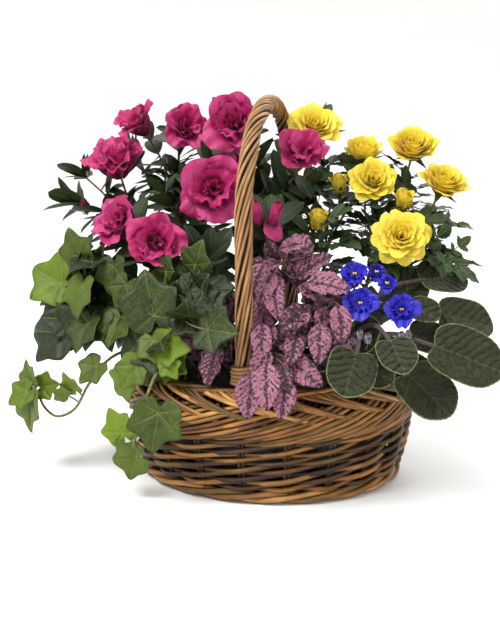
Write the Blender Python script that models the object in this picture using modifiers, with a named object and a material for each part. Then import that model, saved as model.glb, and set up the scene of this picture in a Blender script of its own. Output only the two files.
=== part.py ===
"""Planted willow basket: an oval basket with a roped hoop handle, holding an azalea, a miniature rose,
an ivy, a polka dot plant and an African violet.

Metres, +Z up. The origin is the centre of the basket's underside, +X runs along the basket's long axis
and the hoop handle stands in the YZ plane. The show side of the planting faces -Y.
"""

import math
import random

import bmesh
import bpy
from mathutils import Matrix, Vector
from mathutils.bvhtree import BVHTree

OBJECT_NAME = "flower_basket"

# Driving dimensions of the basket, in metres.
RIM_LENGTH = 0.290
RIM_WIDTH = 0.252
RIM_HEIGHT = 0.112
BORDER_HEIGHT = 0.046
BORDER_DEPTH = 0.019
FOOT_RADIUS = 0.132
FOOT_HEIGHT = 0.014
WALL_THICKNESS = 0.006
BASE_THICKNESS = 0.006
LINER_THICKNESS = 0.0012
HANDLE_DIAMETER = 0.016
HANDLE_HALF_SPAN = 0.108
HANDLE_STRAIGHT = 0.257
HANDLE_FOOT = 0.056
BINDING_HEIGHT = 0.020
BINDING_RADIUS = 0.0125
SOIL_HEIGHT = 0.100
GAP = 0.0004
OVAL = RIM_WIDTH / RIM_LENGTH
LINER_OVAL = 0.79
TURN_STEPS = 32

# The hand's way under the top of the hoop, which no flower or leaf may enter: low and high corners.
GRIP_LOW = Vector((-0.012, -0.065, 0.292))
GRIP_HIGH = Vector((0.012, -0.020, 0.330))

# Root balls: plan position and the radius at the top.
ROOT_BALLS = {
    "azalea": (-0.048, 0.038, 0.042),
    "rose": (0.060, 0.038, 0.037),
    "ivy": (-0.072, -0.032, 0.033),
    "polka_dot_plant": (0.002, -0.054, 0.032),
    "violet": (0.074, -0.030, 0.030),
}
ROOT_BALL_FOOT = 0.020
ROOT_BALL_TAPER = 0.78

# Blooms: centre, the way it faces (azimuth from +X and elevation, in degrees), radius and depth. The violet's
# have the azimuth at which their stalk leaves the crown as well.
AZALEA_BLOOMS = {
    "azalea_flower_1": ((-0.152, 0.046, 0.346), (-125, 50), 0.022, 0.018),
    "azalea_flower_2": ((-0.107, 0.066, 0.340), (-60, 25), 0.025, 0.016),
    "azalea_flower_3": ((-0.166, 0.020, 0.304), (-95, 60), 0.033, 0.018),
    "azalea_flower_4": ((-0.047, 0.050, 0.343), (-85, 20), 0.033, 0.018),
    "azalea_flower_5": ((-0.052, -0.020, 0.282), (-75, 10), 0.036, 0.018),
    "azalea_flower_6": ((-0.144, -0.030, 0.248), (-120, 35), 0.027, 0.017),
    "azalea_flower_7": ((-0.099, -0.058, 0.234), (-70, 15), 0.028, 0.018),
    "azalea_flower_8": ((0.032, 0.000, 0.318), (-70, 35), 0.023, 0.018),
    "azalea_flower_9": ((-0.062, 0.108, 0.296), (105, 35), 0.031, 0.018),
}
AZALEA_BUDS = {
    "azalea_bud_1": ((0.003, -0.034, 0.265), (-80, 65), 0.013, 0.017),
}
ROSE_BLOOMS = {
    "rose_flower_1": ((0.034, 0.052, 0.340), (-70, 40), 0.028, 0.015),
    "rose_flower_2": ((0.133, 0.060, 0.323), (-75, 50), 0.022, 0.016),
    "rose_flower_3": ((0.097, 0.030, 0.290), (-80, 30), 0.022, 0.015),
    "rose_flower_4": ((0.166, 0.035, 0.289), (-50, 55), 0.022, 0.015),
    "rose_flower_5": ((0.130, -0.012, 0.239), (-80, 22), 0.029, 0.016),
    "rose_flower_6": ((0.085, 0.105, 0.282), (80, 45), 0.025, 0.015),
}
ROSE_BUDS = {
    "rose_bud_1": ((0.083, 0.060, 0.320), (-80, 65), 0.0165, 0.016),
    "rose_bud_2": ((0.062, 0.034, 0.290), (-95, 70), 0.0095, 0.013),
    "rose_bud_3": ((0.048, 0.000, 0.257), (-85, 70), 0.0110, 0.013),
    "rose_bud_4": ((0.129, 0.018, 0.276), (-85, 60), 0.0105, 0.013),
}
VIOLET_BLOOMS = {
    "violet_flower_1": ((0.093, -0.060, 0.210), (-85, 35), 0.0130, 0.0050, 0),
    "violet_flower_2": ((0.102, -0.086, 0.188), (-80, 25), 0.0158, 0.0050, -110),
    "violet_flower_3": ((0.138, -0.082, 0.183), (-75, 25), 0.0158, 0.0050, -50),
}

# Leaf outlines as a half turn of (angle from the tip in degrees, radius as a share of the length),
# taken round a point this share of the length up from the leaf's base.
LEAF_SHAPES = {
    "azalea": (0.55, ((0, 0.45), (52, 0.25), (128, 0.25), (180, 0.55))),
    "rose": (0.55, ((0, 0.45), (25, 0.25), (55, 0.38), (112, 0.30), (180, 0.55))),
    "ivy": (0.15, ((0, 0.85), (29, 0.50), (56, 0.68), (112, 0.44), (180, 0.10))),
    "polka": (0.45, ((0, 0.55), (52, 0.31), (122, 0.31), (180, 0.45))),
    "violet": (0.48, ((0, 0.52), (40, 0.49), (90, 0.43), (140, 0.49), (180, 0.38))),
}
LEAF_THICKNESS = 0.0012
LEAF_FOLD = 0.18
LEAF_DROOP = 0.16

# How far each further try of a leaf or a twig may stray from its design: metres, or a share of a unit vector.
CLEARANCE = 1.6 * GAP
LEAF_TRIES = 40
LEAF_SHIFT = 0.0012
LEAF_SWING = 0.0016
LEAF_LEAN = 0.03
TWIG_TRIES = 60
TWIG_BOW = 0.03

# Shoots: stem points from the root ball upwards, then the named blooms and the leafy ends that branch off.
AZALEA_BRANCHES = {
    "azalea_branch_1": {
        "trunk": ((-0.070, 0.030), (-0.100, 0.020, 0.150), (-0.128, 0.010, 0.195)),
        "blooms": ("azalea_flower_3", "azalea_flower_6"),
        "ends": (((-0.200, 0.012, 0.262), (190, 10)), ((-0.206, 0.034, 0.288), (170, 35)),
                 ((-0.170, 0.045, 0.235), (140, 20))),
    },
    "azalea_branch_2": {
        "trunk": ((-0.058, 0.050), (-0.085, 0.055, 0.170), (-0.110, 0.056, 0.240)),
        "blooms": ("azalea_flower_1", "azalea_flower_2"),
        "ends": (((-0.166, 0.078, 0.300), (160, 30)), ((-0.078, 0.052, 0.300), (60, 70)),
                 ((-0.120, 0.095, 0.255), (110, 30))),
    },
    "azalea_branch_3": {
        "trunk": ((-0.052, 0.020), (-0.070, -0.005, 0.150), (-0.075, -0.020, 0.195)),
        "blooms": ("azalea_flower_5", "azalea_flower_7"),
        "ends": (((-0.105, -0.010, 0.275), (150, 45)), ((-0.052, -0.045, 0.215), (-70, 30))),
    },
    "azalea_branch_4": {
        "trunk": ((-0.034, 0.040), (-0.030, 0.044, 0.170), (-0.026, 0.046, 0.230)),
        "blooms": ("azalea_flower_4", "azalea_flower_8", "azalea_flower_9", "azalea_bud_1"),
        "ends": (((-0.030, 0.075, 0.300), (100, 60)), ((0.028, 0.030, 0.280), (20, 40)),
                 ((-0.020, 0.100, 0.235), (95, 25))),
    },
}
ROSE_CANES = {
    "rose_cane_1": {
        "trunk": ((0.046, 0.030), (0.048, 0.030, 0.160), (0.050, 0.030, 0.215)),
        "blooms": ("rose_flower_1", "rose_bud_1", "rose_bud_2", "rose_bud_3"),
        "ends": (((0.050, 0.075, 0.280), (90, 50)), ((0.030, 0.055, 0.230), (120, 20))),
    },
    "rose_cane_2": {
        "trunk": ((0.068, 0.046), (0.085, 0.046, 0.160), (0.100, 0.042, 0.220)),
        "blooms": ("rose_flower_2", "rose_flower_3", "rose_bud_4", "rose_flower_6"),
        "ends": (((0.125, 0.060, 0.270), (60, 40)), ((0.110, 0.095, 0.225), (70, 20))),
    },
    "rose_cane_3": {
        "trunk": ((0.080, 0.028), (0.105, 0.022, 0.150), (0.128, 0.018, 0.200)),
        "blooms": ("rose_flower_4", "rose_flower_5"),
        "ends": (((0.172, 0.000, 0.222), (-20, 10)), ((0.165, 0.010, 0.250), (0, 35)),
                 ((0.160, 0.050, 0.210), (40, 15))),
    },
}
BRANCH_RADIUS = {"azalea": 0.0018, "rose": 0.0017}
LEAF_LENGTH = {"azalea": 0.046, "rose": 0.056}
LEAVES_PER_TWIG = {"azalea": 3, "rose": 2}

# Trailing and tufted plants: stem points, then leaves as (base, tip). The violet's leaves have the azimuth
# at which their stalk leaves the crown instead of stem points.
IVY_VINES = {
    "ivy_vine_1": (
        ((-0.092, -0.036), (-0.115, -0.062, 0.128), (-0.138, -0.080, 0.124), (-0.160, -0.085, 0.098),
         (-0.178, -0.080, 0.070), (-0.198, -0.078, 0.060), (-0.214, -0.072, 0.066), (-0.222, -0.070, 0.080)),
        (((-0.226, -0.074, 0.082), (-0.224, -0.080, 0.040)), ((-0.220, -0.070, 0.086), (-0.196, -0.072, 0.092)),
         ((-0.226, -0.070, 0.088), (-0.236, -0.064, 0.114)), ((-0.230, -0.074, 0.080), (-0.252, -0.076, 0.062)),
         ((-0.184, -0.084, 0.084), (-0.198, -0.090, 0.092)), ((-0.174, -0.086, 0.090), (-0.184, -0.092, 0.110)),
         ((-0.146, -0.090, 0.120), (-0.164, -0.100, 0.100))),
    ),
    "ivy_vine_2": (
        ((-0.090, -0.020), (-0.125, -0.030, 0.135), (-0.160, -0.040, 0.165), (-0.185, -0.042, 0.190)),
        (((-0.186, -0.070, 0.142), (-0.236, -0.046, 0.138)), ((-0.196, -0.048, 0.184), (-0.240, -0.034, 0.202)),
         ((-0.168, -0.070, 0.196), (-0.172, -0.082, 0.160)), ((-0.182, -0.046, 0.212), (-0.194, -0.046, 0.246)),
         ((-0.160, -0.075, 0.160), (-0.170, -0.092, 0.128)), ((-0.172, -0.010, 0.160), (-0.208, 0.010, 0.140)),
         ((-0.140, -0.062, 0.215), (-0.140, -0.070, 0.182)), ((-0.150, 0.000, 0.185), (-0.190, 0.016, 0.190)),
         ((-0.128, -0.078, 0.165), (-0.136, -0.094, 0.135))),
    ),
    "ivy_vine_3": (
        ((-0.062, -0.046), (-0.070, -0.070, 0.130), (-0.078, -0.084, 0.150), (-0.070, -0.096, 0.174)),
        (((-0.086, -0.098, 0.163), (-0.100, -0.088, 0.212)), ((-0.088, -0.104, 0.152), (-0.076, -0.118, 0.128)),
         ((-0.032, -0.126, 0.170), (0.006, -0.132, 0.172)), ((-0.099, -0.112, 0.130), (-0.112, -0.122, 0.104)),
         ((-0.070, -0.118, 0.134), (-0.058, -0.124, 0.118)), ((-0.044, -0.092, 0.196), (-0.030, -0.098, 0.180)),
         ((-0.056, -0.072, 0.212), (-0.046, -0.078, 0.240)), ((-0.112, -0.088, 0.196), (-0.122, -0.100, 0.170)),
         ((-0.084, -0.074, 0.206), (-0.076, -0.080, 0.226))),
    ),
    "ivy_vine_4": (
        ((-0.072, -0.058), (-0.074, -0.090, 0.122), (-0.078, -0.122, 0.122), (-0.084, -0.138, 0.100),
         (-0.092, -0.138, 0.072), (-0.100, -0.130, 0.052)),
        (((-0.070, -0.138, 0.096), (-0.076, -0.146, 0.052)), ((-0.108, -0.126, 0.060), (-0.126, -0.122, 0.086)),
         ((-0.092, -0.128, 0.044), (-0.124, -0.120, 0.034)), ((-0.112, -0.112, 0.112), (-0.134, -0.108, 0.090))),
    ),
    "ivy_vine_5": (
        ((-0.080, -0.010), (-0.112, 0.020, 0.122), (-0.136, 0.052, 0.124), (-0.142, 0.082, 0.098),
         (-0.138, 0.096, 0.066)),
        (((-0.150, 0.046, 0.130), (-0.182, 0.052, 0.110)), ((-0.128, 0.082, 0.128), (-0.138, 0.112, 0.112)),
         ((-0.152, 0.084, 0.092), (-0.176, 0.092, 0.068)), ((-0.132, 0.106, 0.076), (-0.128, 0.122, 0.044)),
         ((-0.110, 0.050, 0.140), (-0.128, 0.060, 0.172))),
    ),
}
POLKA_SHOOTS = {
    "polka_dot_shoot_1": (
        ((0.010, -0.040), (0.020, -0.048, 0.150), (0.024, -0.058, 0.205), (0.028, -0.060, 0.222)),
        (((0.024, -0.066, 0.232), (0.056, -0.076, 0.240)), ((0.012, -0.074, 0.220), (0.002, -0.092, 0.184)),
         ((0.040, -0.070, 0.206), (0.074, -0.066, 0.228)), ((0.020, -0.086, 0.204), (0.032, -0.104, 0.172)),
         ((0.034, -0.046, 0.220), (0.050, -0.030, 0.232)), ((0.012, -0.052, 0.210), (-0.008, -0.062, 0.220))),
    ),
    "polka_dot_shoot_2": (
        ((0.022, -0.060), (0.044, -0.074, 0.135), (0.062, -0.090, 0.172)),
        (((0.054, -0.088, 0.206), (0.094, -0.094, 0.200)), ((0.084, -0.098, 0.188), (0.090, -0.114, 0.156)),
         ((0.070, -0.110, 0.172), (0.072, -0.130, 0.140)), ((0.058, -0.096, 0.184), (0.034, -0.116, 0.166)),
         ((0.066, -0.096, 0.184), (0.066, -0.114, 0.200)), ((0.050, -0.106, 0.164), (0.046, -0.128, 0.136)),
         ((0.084, -0.108, 0.170), (0.106, -0.126, 0.150)), ((0.066, -0.080, 0.184), (0.078, -0.064, 0.190))),
    ),
    "polka_dot_shoot_3": (
        ((0.004, -0.070), (0.016, -0.092, 0.128), (0.024, -0.108, 0.148)),
        (((0.026, -0.130, 0.140), (0.030, -0.146, 0.100)), ((0.014, -0.128, 0.130), (0.012, -0.142, 0.090)),
         ((0.044, -0.128, 0.126), (0.042, -0.142, 0.092)), ((0.044, -0.120, 0.142), (0.074, -0.134, 0.122)),
         ((0.018, -0.102, 0.172), (0.016, -0.124, 0.142)), ((0.036, -0.098, 0.160), (0.056, -0.120, 0.152))),
    ),
    "polka_dot_shoot_4": (
        ((-0.016, -0.056), (-0.030, -0.078, 0.126), (-0.032, -0.092, 0.146)),
        (((-0.026, -0.100, 0.148), (-0.030, -0.122, 0.112)), ((-0.044, -0.098, 0.158), (-0.054, -0.106, 0.172)),
         ((-0.020, -0.078, 0.162), (-0.012, -0.072, 0.196))),
    ),
}
# The point that the leaves of each tufted plant look away from.
IVY_HEART = Vector((-0.070, -0.010, 0.120))
POLKA_HEART = Vector((0.020, -0.030, 0.130))
IVY_STEM_RADIUS = 0.0015
POLKA_STEM_RADIUS = 0.0017
VIOLET_CROWN = (0.074, -0.030)
VIOLET_LEAVES = {
    "violet_leaf_1": (-85, (0.104, -0.112, 0.152), (0.098, -0.152, 0.118)),
    "violet_leaf_2": (-62, (0.130, -0.108, 0.162), (0.148, -0.138, 0.138)),
    "violet_leaf_3": (-40, (0.140, -0.078, 0.128), (0.186, -0.104, 0.092)),
    "violet_leaf_4": (-18, (0.160, -0.090, 0.156), (0.230, -0.086, 0.130)),
    "violet_leaf_5": (28, (0.146, -0.018, 0.200), (0.190, 0.010, 0.198)),
    "violet_leaf_6": (5, (0.164, -0.036, 0.172), (0.218, -0.022, 0.158)),
}
VIOLET_STALK_CIRCLE = 0.014
VIOLET_STALK_RADIUS = 0.0016
VIOLET_BLOOM_STALK_RADIUS = 0.0010


def material(name, colour, roughness, metallic=0.0):
    """A Principled finish; the colour is sRGB from 0 to 255."""
    made = bpy.data.materials.new(name)
    made.use_nodes = True
    shader = made.node_tree.nodes["Principled BSDF"]
    linear = [(c / 255 / 12.92) if c <= 10 else ((c / 255 + 0.055) / 1.055) ** 2.4 for c in colour]
    shader.inputs["Base Color"].default_value = (*linear, 1.0)
    shader.inputs["Roughness"].default_value = roughness
    shader.inputs["Metallic"].default_value = metallic
    return made


def direction(azimuth, elevation):
    """A unit vector from an azimuth about +Z and an elevation, in degrees."""
    flat = math.cos(math.radians(elevation))
    return Vector((flat * math.cos(math.radians(azimuth)), flat * math.sin(math.radians(azimuth)),
                   math.sin(math.radians(elevation))))


class Bench:
    """The scene's collections, and the finished pieces that each new one must stay clear of."""

    def __init__(self):
        for old in list(bpy.data.objects):
            bpy.data.objects.remove(old, do_unlink=True)
        self.parts = bpy.data.collections.new(OBJECT_NAME)
        self.cutters = bpy.data.collections.new(OBJECT_NAME + "_cutters")
        self.cutters.hide_render = True
        for collection in (self.parts, self.cutters):
            bpy.context.scene.collection.children.link(collection)
        self.taken = []

    def cutter(self, name, mesh):
        made = bpy.data.objects.new(name, mesh)
        made.hide_render = True
        made.display_type = "WIRE"
        self.cutters.objects.link(made)
        return made

    def part(self, name, mesh, finish):
        made = bpy.data.objects.new(name, mesh)
        mesh.materials.clear()
        mesh.materials.append(finish)
        mesh.shade_smooth()
        mesh.set_sharp_from_angle(angle=math.radians(40))
        self.parts.objects.link(made)
        return made

    def occupy(self, owner, made):
        """Notes the evaluated shape of a finished object as space that is taken."""
        bpy.context.view_layer.update()
        graph = bpy.context.evaluated_depsgraph_get()
        mesh = bpy.data.meshes.new_from_object(made.evaluated_get(graph), depsgraph=graph)
        mesh.transform(made.matrix_world)
        self.occupy_mesh(owner, mesh)
        bpy.data.meshes.remove(mesh)

    def occupy_mesh(self, owner, mesh):
        corners = [v.co.copy() for v in mesh.vertices]
        tree = BVHTree.FromPolygons(corners, [tuple(p.vertices) for p in mesh.polygons])
        self.taken.append((owner, tree, *bounds(corners)))

    def neighbour(self, owner, mesh):
        """The name of a piece of another owner that a mesh, grown by the gap, would meet, or none."""
        corners = [v.co + v.normal * CLEARANCE for v in mesh.vertices]
        low, high = bounds(corners)
        tree = BVHTree.FromPolygons(corners, [tuple(p.vertices) for p in mesh.polygons])
        middle = sum(corners, Vector()) / len(corners)
        for other, taken, taken_low, taken_high in self.taken:
            if other == owner or any(high[i] < taken_low[i] or low[i] > taken_high[i] for i in range(3)):
                continue
            if tree.overlap(taken) or any(inside(taken, corner) for corner in (middle, corners[0])):
                return other
        return None


def bounds(corners):
    return (Vector(min(c[i] for c in corners) for i in range(3)),
            Vector(max(c[i] for c in corners) for i in range(3)))


def inside(tree, point):
    """Whether a point lies within a closed shape: a ray from it then crosses an odd number of faces."""
    way = Vector((0.123, 0.311, 0.942))
    crossings = 0
    hit = tree.ray_cast(point, way)[0]
    while hit is not None:
        crossings += 1
        hit = tree.ray_cast(hit + way * 0.00001, way)[0]
    return crossings % 2 == 1


def turned(bench, name, profile, finish, oval=1.0, closed=False, place=(0, 0, 0)):
    """A profile of (radius, height) turned about Z, then squeezed along Y into an oval."""
    points = [Vector((r, 0, z)) for r, z in profile]
    shell = bmesh.new()
    ring = [shell.verts.new(p) for p in points]
    for first, second in zip(ring, ring[1:] + ring[:1] if closed else ring[1:]):
        shell.edges.new((first, second))
    mesh = bpy.data.meshes.new(name)
    shell.to_mesh(mesh)
    shell.free()
    made = bench.part(name, mesh, finish)
    screw = made.modifiers.new("Turn", "SCREW")
    screw.steps = screw.render_steps = TURN_STEPS
    screw.use_merge_vertices = True
    screw.merge_threshold = 0.00001
    made.scale.y = oval
    made.location = place
    return made


def tube_mesh(points, radius, end_radius=None, fine=0):
    """A tube along the points, as a closed mesh with welded caps; it has four sides, and two more for each fine."""
    curve = bpy.data.curves.new("tube", "CURVE")
    curve.dimensions = "3D"
    curve.bevel_depth = radius
    curve.bevel_resolution = fine
    curve.use_fill_caps = True
    spline = curve.splines.new("POLY")
    spline.points.add(len(points) - 1)
    for index, (slot, point) in enumerate(zip(spline.points, points)):
        slot.co = (*point, 1.0)
        if end_radius:
            share = index / (len(points) - 1)
            slot.radius = 1 + share * (end_radius / radius - 1)
    holder = bpy.data.objects.new("tube", curve)
    mesh = bpy.data.meshes.new_from_object(holder)
    bpy.data.objects.remove(holder)
    bpy.data.curves.remove(curve)
    soft = bmesh.new()
    soft.from_mesh(mesh)
    bmesh.ops.remove_doubles(soft, verts=soft.verts[:], dist=0.00002)
    bmesh.ops.recalc_face_normals(soft, faces=soft.faces[:])
    soft.to_mesh(mesh)
    soft.free()
    return mesh


def leaf_mesh(shape, base, tip, face):
    """A thin closed blade from base to tip, folded along its midrib and drooping towards the tip."""
    share, half = LEAF_SHAPES[shape]
    outline = list(half) + [(360 - angle, radius) for angle, radius in reversed(half[1:-1])]
    length = (tip - base).length
    along = (tip - base).normalized()
    up = (face - along * face.dot(along)).normalized()
    across = up.cross(along)
    blade = bmesh.new()
    bmesh.ops.create_circle(blade, cap_ends=True, cap_tris=True, segments=len(outline), radius=1.0)
    rim = sorted((v for v in blade.verts if v.is_boundary), key=lambda v: math.atan2(v.co.y, v.co.x) % math.tau)
    for vertex in blade.verts:
        vertex.co = (share, 0, 0)
    for vertex, (angle, radius) in zip(rim, outline):
        turn = math.radians(angle)
        vertex.co = (share + radius * math.cos(turn), radius * math.sin(turn), 0)
    for vertex in blade.verts:
        x, y, _ = vertex.co
        z = LEAF_FOLD * abs(y) - LEAF_DROOP * (x * x - x)
        vertex.co = base + length * (along * x + across * y + up * z)
    bmesh.ops.recalc_face_normals(blade, faces=blade.faces[:])
    bmesh.ops.solidify(blade, geom=blade.faces[:], thickness=LEAF_THICKNESS)
    mesh = bpy.data.meshes.new("leaf")
    blade.to_mesh(mesh)
    blade.free()
    return mesh


def leaf_tries(base, tip, face, key):
    """The leaf as designed, then steadily larger shifts and turns of it, the same on every run."""
    chance = random.Random(key)
    for attempt in range(LEAF_TRIES):
        shift = Vector([chance.uniform(-1, 1) for _ in range(3)]) * LEAF_SHIFT * attempt
        swing = Vector([chance.uniform(-1, 1) for _ in range(3)]) * LEAF_SWING * attempt
        lean = Vector([chance.uniform(-1, 1) for _ in range(3)]) * LEAF_LEAN * attempt
        way = (tip + swing - base).normalized()
        yield base + shift, base + shift + way * (tip - base).length, (face + lean).normalized()


def sprout_leaf(bench, owner, shape, base, tip, face, key):
    """The mesh of the first clear try of a leaf that sits on its twig, kept at its base."""
    for foot, end, turned_face in leaf_tries(base, tip, face, key):
        way = (end - foot).normalized()
        blade = leaf_mesh(shape, base - way * 0.002, base + end - foot, turned_face)
        if not bench.neighbour(owner, blade):
            bench.occupy_mesh(key, blade)
            return [blade]
    return []


def grow_leaf(bench, owner, shape, base, tip, face, stem, key, stalk_radius=0.0009, arched=False):
    """Meshes of the first try of a leaf and its stalk that are clear of other owners, or none."""
    share = LEAF_SHAPES[shape][0]
    for foot, end, turned_face in leaf_tries(base, tip, face, key):
        blade = leaf_mesh(shape, foot, end, turned_face)
        root = min(stem, key=lambda point: (point - foot).length)
        along = (end - foot).normalized()
        up = (turned_face - along * turned_face.dot(along)).normalized()
        rise = LEAF_DROOP * share * (1 - share) * (end - foot).length
        heart = foot + (end - foot) * share + up * rise
        lead = smooth_path(root, Vector((0, 0, 1)), foot, along, 6) if arched else [root, foot - along * 0.001]
        stalk = tube_mesh(lead + [heart], stalk_radius)
        met = bench.neighbour(owner, blade) or bench.neighbour(owner, stalk)
        if not met:
            bench.occupy_mesh(key, blade)
            return [blade, stalk]
    print("no room for", key, "which meets", met)
    return []


def union(bench, name, meshes, finish):
    """One body from overlapping closed meshes, by exact Boolean union."""
    pieces = [bench.cutter(f"{name}_piece", mesh) for mesh in meshes]
    group = bpy.data.collections.new(name + "_pieces")
    for piece in pieces[1:]:
        group.objects.link(piece)
    join = pieces[0].modifiers.new("Join", "BOOLEAN")
    join.operation = "UNION"
    join.operand_type = "COLLECTION"
    join.collection = group
    bpy.context.view_layer.update()
    graph = bpy.context.evaluated_depsgraph_get()
    mesh = bpy.data.meshes.new_from_object(pieces[0].evaluated_get(graph), depsgraph=graph)
    for piece in pieces:
        bpy.data.objects.remove(piece, do_unlink=True)
    bpy.data.collections.remove(group)
    skin = bmesh.new()
    skin.from_mesh(mesh)
    bmesh.ops.dissolve_limit(skin, angle_limit=math.radians(3), verts=skin.verts[:], edges=skin.edges[:])
    skin.to_mesh(mesh)
    skin.free()
    made = bench.part(name, mesh, finish)
    bench.occupy(name, made)
    return made


def smooth_path(start, start_way, end, end_way, count):
    """Points along a Bezier curve that leaves and arrives in the given directions."""
    reach = (end - start).length * 0.4
    a, b, c, d = start, start + start_way * reach, end - end_way * reach, end
    points = []
    for step in range(count):
        t = step / (count - 1)
        s = 1 - t
        points.append(a * s**3 + b * 3 * s * s * t + c * 3 * s * t * t + d * t**3)
    return points


def bloom_mesh(centre, facing, radius, depth, petals, ruffle):
    """A closed bowl of bloom: a flattened sphere whose edge swells once for each petal."""
    turn = facing.to_track_quat("Z", "Y").to_matrix().to_4x4()
    bowl = bmesh.new()
    bmesh.ops.create_uvsphere(bowl, u_segments=10, v_segments=5, radius=1.0)
    for vertex in bowl.verts:
        x, y, z = vertex.co
        swell = 1 + ruffle * math.cos(petals * math.atan2(y, x))
        height = 0.45 * z if z > 0 else z
        vertex.co = (x * swell * radius, y * swell * radius, height * depth)
    mesh = bpy.data.meshes.new("bloom")
    bowl.to_mesh(mesh)
    bowl.free()
    mesh.transform(Matrix.Translation(centre) @ turn)
    return mesh


def build_basket(bench, finishes):
    """The woven base, foot, wall and border as plain oval bodies."""
    willow = finishes["willow"]
    turned(bench, "basket_base", [
        (0, BASE_THICKNESS), (FOOT_RADIUS - 0.0108, BASE_THICKNESS), (FOOT_RADIUS - 0.0108, 0), (0, 0),
    ], willow, OVAL)
    turned(bench, "basket_foot_border", [
        (FOOT_RADIUS - 0.002, FOOT_HEIGHT), (FOOT_RADIUS + 0.001, FOOT_HEIGHT * 0.6),
        (FOOT_RADIUS - 0.003, 0), (FOOT_RADIUS - 0.0095, 0), (FOOT_RADIUS - 0.0095, FOOT_HEIGHT),
    ], willow, OVAL, closed=True)
    border_foot = RIM_HEIGHT - BORDER_HEIGHT
    rim = RIM_LENGTH / 2
    outer = [(rim - 0.003, border_foot - GAP), (rim - 0.005, 0.045), (rim - 0.010, 0.026),
             (FOOT_RADIUS - 0.001, FOOT_HEIGHT + GAP)]
    inner = [(r - WALL_THICKNESS, z) for r, z in reversed(outer)]
    turned(bench, "basket_wall", outer + inner, willow, OVAL, closed=True)
    border = turned(bench, "basket_rim_border", [
        (rim - 0.007, RIM_HEIGHT), (rim, RIM_HEIGHT - 0.012), (rim, border_foot + 0.014),
        (rim - 0.002, border_foot), (rim - 0.009, border_foot),
        (rim - BORDER_DEPTH, RIM_HEIGHT - 0.010), (rim - BORDER_DEPTH + 0.006, RIM_HEIGHT),
    ], willow, OVAL, closed=True)
    notch_handle(bench, border)
    for made in list(bench.parts.objects):
        bench.occupy(made.name, made)


def notch_handle(bench, border):
    """Cuts the two sockets in which the hoop's legs stand between border and liner."""
    for side in (-1, 1):
        shaft = bmesh.new()
        bmesh.ops.create_cone(shaft, cap_ends=True, segments=16, depth=RIM_HEIGHT,
                              radius1=HANDLE_DIAMETER / 2 + GAP, radius2=HANDLE_DIAMETER / 2 + GAP)
        mesh = bpy.data.meshes.new("handle_socket")
        shaft.to_mesh(mesh)
        shaft.free()
        cutter = bench.cutter(f"handle_socket_{side}", mesh)
        cutter.location = (0, side * HANDLE_HALF_SPAN, RIM_HEIGHT * 0.75)
        cut = border.modifiers.new("Socket", "BOOLEAN")
        cut.operation = "DIFFERENCE"
        cut.object = cutter


def build_handle(bench, finishes):
    """The hoop on its two straight legs, and the binding round each leg."""
    centre = HANDLE_STRAIGHT
    points = [Vector((0, -HANDLE_HALF_SPAN, z)) for z in (HANDLE_FOOT, 0.150)]
    for step in range(19):
        turn = math.pi * (1 - step / 18)
        points.append(Vector((0, HANDLE_HALF_SPAN * math.cos(turn),
                              centre + HANDLE_HALF_SPAN * math.sin(turn))))
    points += [Vector((0, HANDLE_HALF_SPAN, z)) for z in (0.150, HANDLE_FOOT)]
    hoop = bench.part("handle", tube_mesh(points, HANDLE_DIAMETER / 2, fine=2), finishes["handle"])
    bench.occupy("handle", hoop)
    socket = HANDLE_DIAMETER / 2 + GAP
    for name, side in (("front", -1), ("back", 1)):
        ring = [(BINDING_RADIUS - 0.002, BINDING_HEIGHT), (BINDING_RADIUS, BINDING_HEIGHT * 0.6),
                (BINDING_RADIUS - 0.001, 0), (socket, 0), (socket, BINDING_HEIGHT)]
        made = turned(bench, f"handle_binding_{name}", ring, finishes["binding"], closed=True,
                      place=(0, side * HANDLE_HALF_SPAN, RIM_HEIGHT + GAP))
        made.modifiers["Turn"].steps = made.modifiers["Turn"].render_steps = 12
        bench.occupy(made.name, made)


def build_filling(bench, finishes):
    """The liner, the potting soil and the five root balls set into wells in it."""
    top, foot, floor = 0.1235, 0.1130, BASE_THICKNESS + 0.0015
    liner = turned(bench, "pot_liner", [
        (0, floor + LINER_THICKNESS), (foot - LINER_THICKNESS, floor + LINER_THICKNESS),
        (top - LINER_THICKNESS, 0.103), (top, 0.103), (foot, floor), (0, floor),
    ], finishes["liner"], LINER_OVAL)
    bench.occupy("pot_liner", liner)
    inset = LINER_THICKNESS + 2 * GAP
    soil = turned(bench, "potting_soil", [
        (0, SOIL_HEIGHT), (0.070, SOIL_HEIGHT), (0.110, SOIL_HEIGHT - 0.003), (top - inset - 0.0015, 0.092),
        (foot - inset, floor + inset), (0, floor + inset),
    ], finishes["soil"], LINER_OVAL)
    for plant, (x, y, radius) in ROOT_BALLS.items():
        ball = cone_mesh(radius, ROOT_BALL_FOOT, SOIL_HEIGHT, 0)
        made = bench.part(f"{plant}_root_ball", ball, finishes["soil"])
        made.location = (x, y, 0)
        well = bench.cutter(f"{plant}_well", cone_mesh(radius, ROOT_BALL_FOOT, SOIL_HEIGHT, GAP))
        well.location = (x, y, 0)
        cut = soil.modifiers.new("Well", "BOOLEAN")
        cut.operation = "DIFFERENCE"
        cut.object = well
        bench.occupy(made.name, made)
    bench.occupy("potting_soil", soil)


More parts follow.
